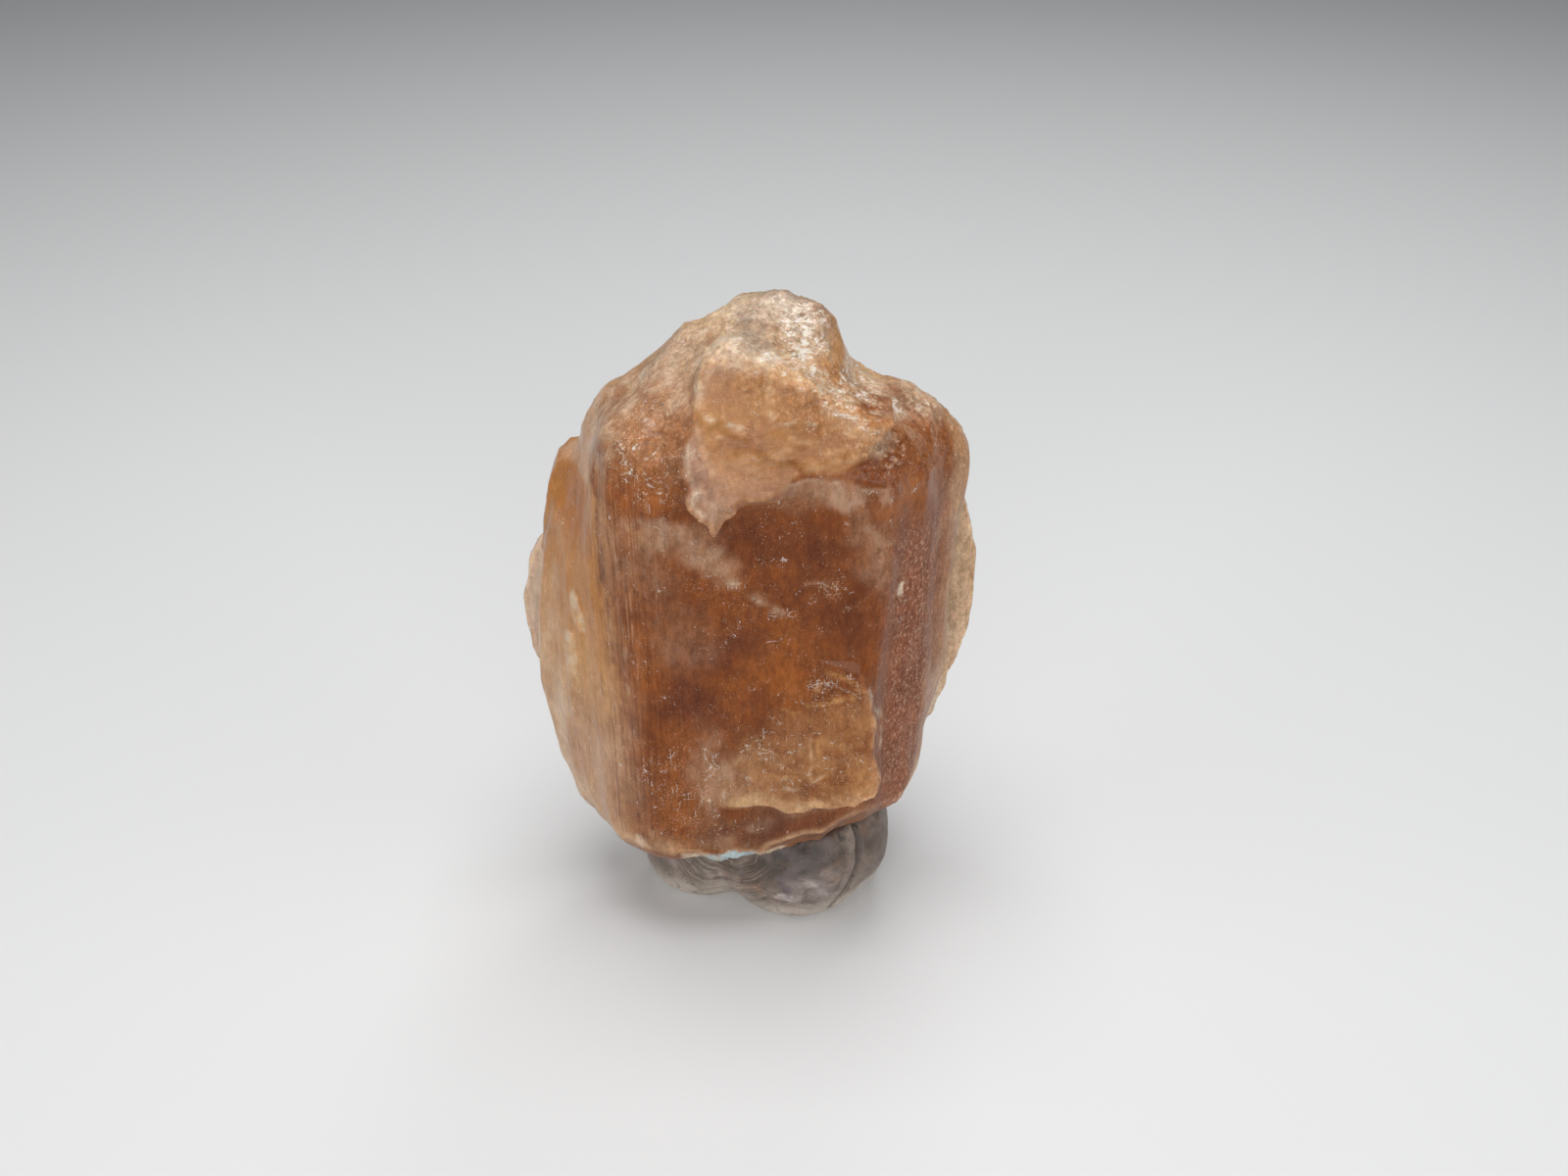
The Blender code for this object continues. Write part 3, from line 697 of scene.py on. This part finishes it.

# thin edges with a painted glow of light coming through them, painted shade under the foot and
# painted bounce light on its lower faces, and the crust under it
# painted glow: light shining through the thin stone, laid as peach
lay(PEACH, 0.4 * thin)
# painted shade: the faces that look down near the bottom are darkened
foot = ease(0.2, 0.5, -ways[:, 2]) * ease(9.0, 7.0, z)
lay(UMBER, 0.4 * foot)
# painted bounce light: faces near the bottom that turn slightly down are laid paler, as lit from below
lay(PEACH, 0.5 * ease(7.6, 6.2, z) * ease(0.02, 0.25, -ways[:, 2]) * ease(0.45, 0.25, -ways[:, 2]))
hanging = spots + np.array([0.0, 0.0, CRUST_DROP])
crusted = np.minimum(near_line(spots, CRUST), near_line(hanging, CRUST))
crusted += 0.10 * waves(spots, 0.35) + 0.06 * waves(spots, 0.15) - 0.10 * crust_thickness(spots)
crusted = ease(0.26, 0.14, crusted) * ease(-2.4, -3.0, spots[:, 1])
lay(CREAM, 0.7 * crusted)
lay(SMEAR, crusted * ease(-3.0, -2.4, spots[:, 0]) * ease(-0.4, -1.0, spots[:, 0]))

# raised places painted pale as highlights, hollows painted dark as shade, and clouds over all
# painted highlight: places that stand out from the skin around them are laid paler
lay(PEACH, 0.35 * ease(0.015, 0.05, stand) * (1 - 0.6 * broken))
clouds = 1 + 0.14 * slow + 0.10 * waves(spots, 0.8) + (0.12 - 0.07 * low_side) * waves(spots, 0.5, 16.0)
# painted shade: hollows in the skin are darkened
clouds = clouds * (1 - 0.25 * ease(0.01, 0.05, -stand))
paint = np.clip(paint * clouds[:, None] ** np.array([0.8, 1.0, 1.1]), 0, 0.95)

# where the finish is frosted or painted with sparkle, scratched, striped, smudged, misty or gritty
frost_and_sparkle = (0.28 + 0.2 * ease(2.0, 3.5, x)) * broken * ease(0.0, 0.4, waves(spots, 1.4) + 0.3)
# raised places are frosted too, so the flakes and glints laid from the frost make them paler: painted
# highlight
frost_and_sparkle = np.maximum(frost_and_sparkle, 0.35 * ease(0.01, 0.04, stand))
hollows = pits(spots)
frost_and_sparkle = np.maximum(frost_and_sparkle, 0.75 * ease(0.05, 0.35, hollows) * ease(0.95, 0.6, hollows))
for middle_x, middle_z, wide, tall, turn, strength in FROSTED:
    frost_and_sparkle = np.maximum(frost_and_sparkle, strength * stroke(warped, middle_x, middle_z, wide, tall, turn) * crested)
# the painted sparkles join the frost, for brighter flakes and glints there
frost_and_sparkle = np.maximum(frost_and_sparkle, sparkle)
scratch = 0.15 + 0.3 * waves(spots, 3.0)
for middle_x, middle_z, wide, tall, strength in SCRATCHED:
    scratch = np.maximum(scratch, strength * stroke(warped, middle_x, middle_z, wide, tall))
stripe = ease(-3.2, -5.0, x) * (0.08 + 0.92 * ease(-6.6, -6.2, x))
stripe = np.maximum(stripe, np.maximum(0.06 * right, 0.3 * behind))
stripe = np.maximum(stripe, 0.4 * ease(-2.0, -4.0, x) * ease(14.0, 11.0, z))
smudge = np.maximum(0.15, np.maximum(0.55 * ease(-0.1, 0.2, upper), on_lower))
mist = np.zeros(len(spots))
for colour, middle_x, middle_z, wide, tall, turn, soft, strength in STROKES:
    if colour is VEIL:
        mist = np.maximum(mist, strength * stroke(warped, middle_x, middle_z, wide, tall, turn, soft))
fields = {
    "mist": mist * front,
    "depth": 1.0 - 0.5 * np.maximum(low_side, ease(-0.1, 0.2, upper)),
    "frost_and_sparkle": frost_and_sparkle,
    "scratch": scratch * np.maximum(front, 0.4),
    "stripe": stripe * (1 - broken),
    "smudge": smudge,
    "grit": np.maximum(plum, np.maximum(0.4 * broken, 0.4 * right * ease(9.5, 7.0, x))),
}
keep_fields(crystal.data, fields)


# Finish of the crystal
# Glassy and clouded: light goes in and comes back amber. Its colour layer is broken up here
# with smudges, upright threads, white scratches, specks and flakes too fine for the relief, and
# with painted glints: the brightest flakes are laid near white as highlights.
SMUDGE_TINT = (0.66, 0.48, 0.36)
DEPTH_TINTS = [(0.38, (0.80, 0.74, 0.68)), (0.5, (1.0, 1.0, 1.0)), (0.62, (1.12, 1.15, 1.18))]
CLOUD_TINTS = [(0.3, (0.54, 0.49, 0.45)), (0.7, (1.46, 1.56, 1.64))]
WISP = (0.60, 0.40, 0.28)
THREAD_TINT = (0.60, 0.45, 0.42)
GRAIN_TINTS = [(0.38, (0.60, 0.46, 0.38)), (0.5, (0.95, 0.92, 0.90)), (0.60, (1.35, 1.42, 1.48))]
FLAKE_TINTS = [(0.3, (0.76, 0.64, 0.56)), (0.7, (1.30, 1.28, 1.26))]
SCORE_TURNS = (38, -52)  # degrees from upright
STONE_FINISH = {
    "Subsurface Weight": 0.55,
    "Subsurface Radius": (1.0, 0.45, 0.2),
    "Subsurface Scale": 0.5 * MM,
    "IOR": 1.6,
    "Sheen Weight": 0.03,
    "Sheen Roughness": 0.3,
    "Sheen Tint": (1.0, 0.9, 0.8, 1),
    "Specular IOR Level": 0.1,
    "Transmission Weight": 0.1,
    "Coat Roughness": 0.18,
}
INSIDE = {"Color": (0.85, 0.5, 0.25, 1), "Density": 160}  # what the light passes on its way
STONE_BUMP = {"Strength": 1.0, "Distance": 0.06 * MM}


def new_material(name):
    finish = bpy.data.materials.new(name)
    finish.use_nodes = True
    return finish, finish.node_tree.nodes, finish.node_tree.nodes["Principled BSDF"]


def set_inputs(node, values):
    for name, value in values.items():
        node.inputs[name].default_value = value


def wire(finish, start, end):
    finish.node_tree.links.new(start, end)


def arithmetic(finish, operation, a, b, clamp=False):
    """A Math node whose inputs are sockets or numbers."""
    made = finish.node_tree.nodes.new("ShaderNodeMath")
    made.operation = operation
    made.use_clamp = clamp
    for socket, value in zip(made.inputs, (a, b)):
        if isinstance(value, bpy.types.NodeSocket):
            wire(finish, value, socket)
        else:
            socket.default_value = value
    return made.outputs[0]


def product(finish, *values):
    result = values[0]
    for value in values[1:]:
        result = arithmetic(finish, "MULTIPLY", result, value)
    return result


def blend_colour(finish, share, a, b, kind="MIX"):
    made = finish.node_tree.nodes.new("ShaderNodeMix")
    made.data_type = "RGBA"
    made.blend_type = kind
    for socket, value in ((made.inputs[0], share), (made.inputs[6], a), (made.inputs[7], b)):
        if isinstance(value, bpy.types.NodeSocket):
            wire(finish, value, socket)
        elif isinstance(value, tuple):
            socket.default_value = (*value, 1)
        else:
            socket.default_value = value
    return made.outputs[2]


def ramp(finish, source, stops):
    made = finish.node_tree.nodes.new("ShaderNodeValToRGB")
    band = made.color_ramp
    while len(band.elements) < len(stops):
        band.elements.new(0.5)
    for element, (place, colour) in zip(band.elements, stops):
        element.position = place
        element.color = (*colour, 1) if isinstance(colour, tuple) else (colour, colour, colour, 1)
    wire(finish, source, made.inputs[0])
    return made.outputs[0]


def texture(finish, kind, scale, stretch=(1, 1, 1), turn=(0, 0, 0), **settings):
    """A noise or cell pattern with waves of this size in millimetres, stretched along the axes."""
    spots = finish.node_tree.nodes.new("ShaderNodeTexCoord")
    placing = finish.node_tree.nodes.new("ShaderNodeMapping")
    placing.inputs["Scale"].default_value = [1 / s for s in stretch]
    placing.inputs["Rotation"].default_value = [math.radians(angle) for angle in turn]
    wire(finish, spots.outputs["Object"], placing.inputs["Vector"])
    made = finish.node_tree.nodes.new(kind)
    wire(finish, placing.outputs[0], made.inputs["Vector"])
    made.inputs["Scale"].default_value = 1 / (scale * MM)
    for name, value in settings.items():
        if name in made.inputs:
            made.inputs[name].default_value = value
        else:
            setattr(made, name, value)
    return made


def patches(finish, scale, stretch=(1, 1, 1), turn=(0, 0, 0), **settings):
    return texture(finish, "ShaderNodeTexNoise", scale, stretch, turn, **settings).outputs["Fac"]


def above(finish, pattern, low, high):
    """0 where a pattern is weaker than low, 1 where it is stronger than high."""
    return ramp(finish, pattern, [(low, 0.0), (high, 1.0)])


def below(finish, pattern, low, high):
    """1 where a pattern is weaker than low, 0 where it is stronger than high."""
    return ramp(finish, pattern, [(low, 1.0), (high, 0.0)])


def attribute(finish, name, output="Fac"):
    made = finish.node_tree.nodes.new("ShaderNodeAttribute")
    made.attribute_name = name
    return made.outputs[output]


stone, nodes, shader = new_material("childrenite")
frost_and_sparkle = attribute(stone, "frost_and_sparkle")
scratch = attribute(stone, "scratch")
stripe = attribute(stone, "stripe")
grit = attribute(stone, "grit")
depth = attribute(stone, "depth")

# smudges, clouds and wisps
colour = attribute(stone, "paint", "Color")
smudge = patches(stone, 0.7, (1.6, 1, 1), Detail=6, Roughness=0.65, Distortion=0.5)
smudge = product(stone, above(stone, smudge, 0.48, 0.60), attribute(stone, "smudge"), 0.8)
colour = blend_colour(stone, smudge, colour, SMUDGE_TINT, "MULTIPLY")
depths = ramp(stone, patches(stone, 1.3, (1, 1, 1.5), Detail=4, Roughness=0.5), DEPTH_TINTS)
colour = blend_colour(stone, product(stone, depth, 0.8), colour, depths, "MULTIPLY")
cloudy = ramp(stone, patches(stone, 0.22, (1, 1, 2.2), Detail=7, Roughness=0.75), CLOUD_TINTS)
colour = blend_colour(stone, product(stone, depth, 0.9), colour, cloudy, "MULTIPLY")
wisps = patches(stone, 0.5, (1, 1, 1.6), (0, 30, 0), Detail=8, Roughness=0.7)
wisps = product(stone, above(stone, wisps, 0.46, 0.60), attribute(stone, "mist"), 0.7)
colour = blend_colour(stone, wisps, colour, WISP)

# upright threads
threads = patches(stone, 0.11, (1, 1, 60), Detail=4, Roughness=0.7)
stripes = arithmetic(stone, "ADD", 0.07, stripe)
dark_thread = product(stone, above(stone, threads, 0.50, 0.60), stripes, 0.6)
colour = blend_colour(stone, dark_thread, colour, THREAD_TINT, "MULTIPLY")
pale_thread = product(stone, below(stone, threads, 0.36, 0.44), stripes, 0.55)
broken_up = patches(stone, 0.5, (1, 1, 4), Detail=5, Roughness=0.7)
pale_thread = product(stone, pale_thread, above(stone, broken_up, 0.45, 0.58))
colour = blend_colour(stone, pale_thread, colour, LILAC)

# grain like sugar
sugar = patches(stone, 0.12, (1, 1, 1.5), Detail=4, Roughness=0.7)
colour = blend_colour(stone, product(stone, grit, 0.9), colour, ramp(stone, sugar, GRAIN_TINTS), "MULTIPLY")
bright_grain = product(stone, above(stone, sugar, 0.575, 0.63), grit, 0.5)
colour = blend_colour(stone, bright_grain, colour, CREAM)

# hair lines and scores, in groups
hair = patches(stone, 1.3, Detail=3, Roughness=0.55, Distortion=0.5)
line = arithmetic(stone, "ABSOLUTE", arithmetic(stone, "SUBTRACT", hair, 0.5), 0)
line = below(stone, line, 0.003, 0.008)
group = arithmetic(stone, "ADD", patches(stone, 0.45, Detail=4, Roughness=0.7), product(stone, scratch, 0.17))
group = arithmetic(stone, "GREATER_THAN", group, 0.645)
line = product(stone, line, group)
scores = []
for angle in SCORE_TURNS:
    score = patches(stone, 0.06, (1, 1, 20), (0, angle, 0), Detail=1)
    scores.append(above(stone, score, 0.70, 0.74))
score = arithmetic(stone, "MAXIMUM", *scores)
line = arithmetic(stone, "MAXIMUM", line, product(stone, score, group))

# specks, and a haze where they crowd
specks = patches(stone, 0.065, Detail=2, Roughness=0.6)
crowd = patches(stone, 0.9, Detail=4, Roughness=0.7)
specks = arithmetic(stone, "ADD", specks, product(stone, crowd, 0.45))
specks = arithmetic(stone, "ADD", specks, product(stone, scratch, 0.05))
specks = arithmetic(stone, "ADD", specks, product(stone, grit, 0.06))
dot = above(stone, specks, 0.955, 1.00)
haze = above(stone, specks, 0.76, 0.95)

# bright flakes where the stone is broken, and painted glints on the brightest of them
scales = texture(stone, "ShaderNodeTexVoronoi", 0.16, (1.6, 1, 0.8), (0, 26, 0), Randomness=1.0)
fine_scales = texture(stone, "ShaderNodeTexVoronoi", 0.065, (1.3, 1, 0.9), (0, 26, 0), Randomness=1.0)
crumbs = patches(stone, 0.3, Detail=6, Roughness=0.7)
flaky = arithmetic(stone, "ADD", product(stone, scales.outputs["Color"], 0.35), product(
    stone, fine_scales.outputs["Color"], 0.30))
flaky = arithmetic(stone, "ADD", flaky, product(stone, crumbs, 0.35))
colour = blend_colour(stone, product(stone, frost_and_sparkle, 0.9), colour, ramp(stone, flaky, FLAKE_TINTS), "MULTIPLY")
flake = arithmetic(stone, "ADD", flaky, product(stone, arithmetic(stone, "SUBTRACT", frost_and_sparkle, 0.5), 0.9))
# painted highlight: the brightest flakes become glints, laid near white with the marks
glint = above(stone, flake, 0.74, 0.80)
flake = above(stone, flake, 0.56, 0.78)

haze = product(stone, haze, arithmetic(stone, "ADD", 0.35, scratch), 0.30)
colour = blend_colour(stone, haze, colour, PEACH)
marks_and_glints = arithmetic(stone, "MAXIMUM", product(stone, line, 0.55), product(stone, dot, 0.6))
colour = blend_colour(stone, product(stone, flake, 0.75), colour, CREAM)
marks_and_glints = arithmetic(stone, "MAXIMUM", marks_and_glints, product(stone, glint, 0.9))
colour = blend_colour(stone, marks_and_glints, colour, FROST)
wire(stone, colour, shader.inputs["Base Color"])

# light in the stone and gloss on it
set_inputs(shader, STONE_FINISH)
wire(stone, arithmetic(stone, "ADD", 0.03, product(stone, frost_and_sparkle, 0.6), True), shader.inputs["Coat Weight"])
inside = nodes.new("ShaderNodeVolumeAbsorption")
set_inputs(inside, INSIDE)
wire(stone, inside.outputs[0], nodes["Material Output"].inputs["Volume"])
roughness = arithmetic(stone, "ADD", 0.24, product(stone, grit, 0.3))
roughness = arithmetic(stone, "ADD", roughness, product(stone, marks_and_glints, 0.15))
wire(stone, roughness, shader.inputs["Roughness"])

# relief too fine for the mesh
fine = patches(stone, 0.16, Detail=5, Roughness=0.6)
height = product(stone, threads, stripe, 0.35)
fine = product(stone, fine, arithmetic(stone, "ADD", 0.12, product(stone, grit, 0.6)))
height = arithmetic(stone, "ADD", height, fine)
height = arithmetic(stone, "ADD", height, product(stone, flaky, frost_and_sparkle, 1.6))
height = arithmetic(stone, "SUBTRACT", height, product(stone, line, 0.25))
bump = nodes.new("ShaderNodeBump")
set_inputs(bump, STONE_BUMP)
wire(stone, height, bump.inputs["Height"])
wire(stone, bump.outputs[0], shader.inputs["Normal"])

crystal.data.materials.clear()
crystal.data.materials.append(stone)
crystal.data.shade_smooth()
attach(crystal, "root")
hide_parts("crystal")


# Putty
# A lump of grey-brown tack, kneaded and folded over by hand, pressed flat underneath and up
# against the crystal's foot. It holds by its own stickiness.
PUTTY_VOXEL, PUTTY_ROUNDS = 0.085, 8
TUCK = 0.05  # left between the putty and the crystal where they meet
DRAWN_FROM = 0.7  # putty nearer to the crystal than this is drawn up to it
PULL_MARKS = 9  # how close together the pull marks lie
CREASE = [(3.3, 4.8), (3.5, 4.0), (3.5, 3.0), (3.2, 2.1), (2.7, 1.2), (2.3, 0.6)]  # x, z
CREASE_DEPTH = 0.16
TACK = (0.215, 0.165, 0.130)
MOTTLE_TINTS = [(0.34, (0.50, 0.47, 0.44)), (0.5, (1.0, 1.0, 1.0)), (0.66, (1.85, 2.0, 2.15))]
PALE_FIBRE = (0.50, 0.42, 0.34)
DARK_FIBRE = (0.09, 0.065, 0.05)
FIBRES = {"Scale": 1 / 0.11, "Detail": 4, "Roughness": 0.7}
RUST = (0.33, 0.17, 0.09)
MAUVE = (0.27, 0.215, 0.22)
LIT_RIM_TINT = (0.62, 0.54, 0.46)
CREASE_SHADE_TINT = (0.07, 0.05, 0.04)
SHADE_TINT = (0.55, 0.48, 0.42)
STAIN = (0.12, 0.075, 0.065)
SOIL = (0.05, 0.03, 0.03)
PUTTY_FINISH = {
    "Roughness": 0.5,
    "Subsurface Weight": 0.3,
    "Subsurface Radius": (1.0, 0.8, 0.6),
    "Subsurface Scale": 0.4 * MM,
}
PUTTY_BUMP = {"Strength": 0.6, "Distance": 0.05 * MM}
STAINS_AND_SHADE = [
    # colour, x, z, half width, half height, strength
    # painted shade: the first, broad dark patch lies on the top under the crystal
    ((0.055, 0.045, 0.045), 0.9, 3.7, 1.5, 0.8, 0.7),
    ((0.30, 0.15, 0.08), -0.9, 2.3, 0.4, 0.5, 0.6),
    ((0.07, 0.045, 0.075), 0.4, 2.6, 0.28, 0.55, 0.8),
    ((0.12, 0.05, 0.05), 0.3, 1.7, 0.22, 0.22, 0.8),
    ((0.50, 0.44, 0.40), 0.35, 1.95, 0.3, 0.12, 0.6),
    ((0.06, 0.045, 0.06), 1.2, 1.05, 0.2, 0.14, 0.9),
    ((0.05, 0.035, 0.03), 2.8, 4.3, 0.12, 0.2, 0.9),
    ((0.05, 0.035, 0.03), 2.0, 4.2, 0.14, 0.12, 0.8),
    ((0.09, 0.065, 0.05), -2.0, 2.7, 1.2, 0.5, 0.6),
    ((0.34, 0.29, 0.27), 1.6, 2.2, 0.9, 0.8, 0.5),
]

putty = new_object("putty_lump", merged_copy("putty"))
reskin(putty, PUTTY_VOXEL, PUTTY_ROUNDS)
low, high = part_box("putty")
surface = BVHTree.FromObject(crystal, bpy.context.evaluated_depsgraph_get())
spots = places_of(putty.data) / MM
ways = ways_of(putty.data)
x, y, z = spots.T
crease = ease(0.20, 0.0, near_line(spots, CREASE)) * ease(0.0, -1.0, y)
bend = z - 0.30 * (x + 2.6) ** 2 + 0.25 * waves(spots, 1.0)
stretch = np.sin(bend * PULL_MARKS) * ease(-4.4, -3.0, x) * ease(0.4, -0.6, x)
sag = 0.10 * waves(spots, 2.2) + 0.04 * waves(spots, 0.7)
raised = ease(0.3, 1.2, z)
spots += ways * ((sag - CREASE_DEPTH * crease + 0.02 * stretch) * raised)[:, None]
for k, spot in enumerate(spots):
    near, _, _, apart = surface.find_nearest(Vector(spot) * MM)
    apart /= MM
    if apart < DRAWN_FROM:
        toward = np.array(near) / MM - spot
        spots[k] = spot + toward / apart * (apart - TUCK) * ease(DRAWN_FROM, 0.45, apart)
putty.data.vertices.foreach_set("co", np.clip(spots * MM, np.array(low), np.array(high)).ravel())
putty.data.update()
# painted shade: the crease is darkened, and the pull marks get dark lines
crease_shade_and_pulls = np.maximum(crease, 0.35 * ease(0.1, 0.9, stretch))
pulled = ease(-4.6, -3.6, x) * ease(0.2, -1.0, x) * ease(0.0, -1.0, y)
lip = ease(0.35, 0.15, near_line(spots + np.array([0.28, 0, 0]), CREASE)) * ease(0.0, -1.0, y)
fields = {
    "crease_shade_and_pulls": crease_shade_and_pulls,
    "pulled": pulled,
    # painted bounce light: paler towards the bottom, as lit from below, and along the lip beside the crease
    "lit_rim": np.maximum(ease(1.9, 0.3, z + 0.4 * waves(spots, 1.2)), 0.25 * lip),
    "shaded": ease(1.2, 3.6, z + 0.5 * waves(spots, 1.5)),
}
paint = np.tile(np.array(TACK), (len(spots), 1))
blotched = torn(spots, 0.4, 0.5, 7.0)
# stains, and painted shade on the top under the crystal
for colour, middle_x, middle_z, wide, tall, strength in STAINS_AND_SHADE:
    lay(colour, strength * stroke(blotched, middle_x, middle_z, wide, tall, soft=0.6) * ease(-0.5, -1.2, y))
keep_fields(putty.data, fields)
layer = putty.data.attributes.new("flow", "FLOAT_VECTOR", "POINT")
layer.data.foreach_set("vector", np.column_stack([0.09 * x, 0.09 * y, bend]).ravel())

tack, nodes, shader = new_material("mounting putty")
pulled = attribute(tack, "pulled")
mottle = ramp(tack, patches(tack, 1.4, Detail=6, Roughness=0.65, Distortion=0.6), MOTTLE_TINTS)
colour = blend_colour(tack, 1.0, attribute(tack, "paint", "Color"), mottle, "MULTIPLY")
fibres = nodes.new("ShaderNodeTexNoise")
set_inputs(fibres, FIBRES)
wire(tack, attribute(tack, "flow", "Vector"), fibres.inputs["Vector"])
fibres = fibres.outputs["Fac"]
colour = blend_colour(tack, product(tack, above(tack, fibres, 0.50, 0.62), pulled, 0.6), colour, PALE_FIBRE)
colour = blend_colour(tack, product(tack, below(tack, fibres, 0.38, 0.46), pulled, 0.6), colour, DARK_FIBRE)
rust = above(tack, patches(tack, 1.1, Detail=5, Roughness=0.65), 0.56, 0.66)
colour = blend_colour(tack, product(tack, rust, 0.45), colour, RUST)
mauve = above(tack, patches(tack, 1.0, Detail=3), 0.52, 0.66)
colour = blend_colour(tack, product(tack, mauve, 0.5), colour, MAUVE)
# painted bounce light along the bottom and the lip
colour = blend_colour(tack, product(tack, attribute(tack, "lit_rim"), 0.75), colour, LIT_RIM_TINT)
# painted shade in the crease, and dark lines along the pull marks
colour = blend_colour(tack, product(tack, attribute(tack, "crease_shade_and_pulls"), 0.8), colour, CREASE_SHADE_TINT)
colour = blend_colour(tack, product(tack, attribute(tack, "shaded"), 0.6), colour, SHADE_TINT, "MULTIPLY")
stain = above(tack, patches(tack, 0.45, Detail=5, Roughness=0.7), 0.54, 0.64)
colour = blend_colour(tack, product(tack, stain, 0.6), colour, STAIN)
for spacing, reach in ((0.42, 0.10), (0.8, 0.07)):
    soil = texture(tack, "ShaderNodeTexVoronoi", spacing, Randomness=1.0)
    soil = arithmetic(tack, "LESS_THAN", soil.outputs["Distance"], reach)
    colour = blend_colour(tack, product(tack, soil, 0.75), colour, SOIL)
wire(tack, colour, shader.inputs["Base Color"])
set_inputs(shader, PUTTY_FINISH)
skin = patches(tack, 0.3, Detail=5, Roughness=0.6)
bump = nodes.new("ShaderNodeBump")
set_inputs(bump, PUTTY_BUMP)
wire(tack, arithmetic(tack, "ADD", skin, product(tack, fibres, pulled)), bump.inputs["Height"])
wire(tack, bump.outputs[0], shader.inputs["Normal"])

putty.data.materials.clear()
putty.data.materials.append(tack)
putty.data.shade_smooth()
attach(putty, "root")
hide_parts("putty")


# Floor and light
# A sheet of pale paper under the putty, and five soft lamps around: the strongest stands in front,
# so that the broad face is lit evenly.
FLOOR_SIDE = 3.0  # metres
PAPER_FINISH = {"Base Color": (0.775, 0.775, 0.775, 1), "Roughness": 0.6, "Specular IOR Level": 0.2}
ROOM = {"Color": (0.9, 0.95, 1, 1), "Strength": 0.113}
LAMPS = [
    # name, place, aimed at, width, height, power, in metres and watts
    ("overhead", (0, 0.0, 0.15), (0, 0.0, 0), 0.09, 0.09, 0.15),
    ("back", (0.03, 0.11, 0.13), (0, 0, 0.02), 0.05, 0.05, 0.028),
    ("left", (-0.17, -0.06, 0.08), (0, 0, 0.012), 0.14, 0.14, 0.076),
    ("right", (0.17, -0.06, 0.08), (0, 0, 0.012), 0.14, 0.14, 0.070),
    ("front", (0.0, -0.20, 0.09), (0, 0, 0.012), 0.24, 0.10, 0.225),
]

bench = bmesh.new()
bmesh.ops.create_grid(bench, x_segments=1, y_segments=1, size=FLOOR_SIDE / 2)
floor = new_object("floor", bench)
paper, nodes, shader = new_material("pale paper")
set_inputs(shader, PAPER_FINISH)
floor.data.materials.append(paper)

for name, place, aim, wide, high, power in LAMPS:
    lamp = bpy.data.lights.new(name, "AREA")
    lamp.shape = "RECTANGLE"
    lamp.size = wide
    lamp.size_y = high
    lamp.energy = power
    holder = bpy.data.objects.new(name, lamp)
    bpy.context.scene.collection.objects.link(holder)
    holder.location = place
    holder.rotation_euler = (Vector(aim) - Vector(place)).to_track_quat("-Z", "Y").to_euler()

room = bpy.data.worlds.new("studio")
bpy.context.scene.world = room
room.use_nodes = True
set_inputs(room.node_tree.nodes["Background"], ROOM)
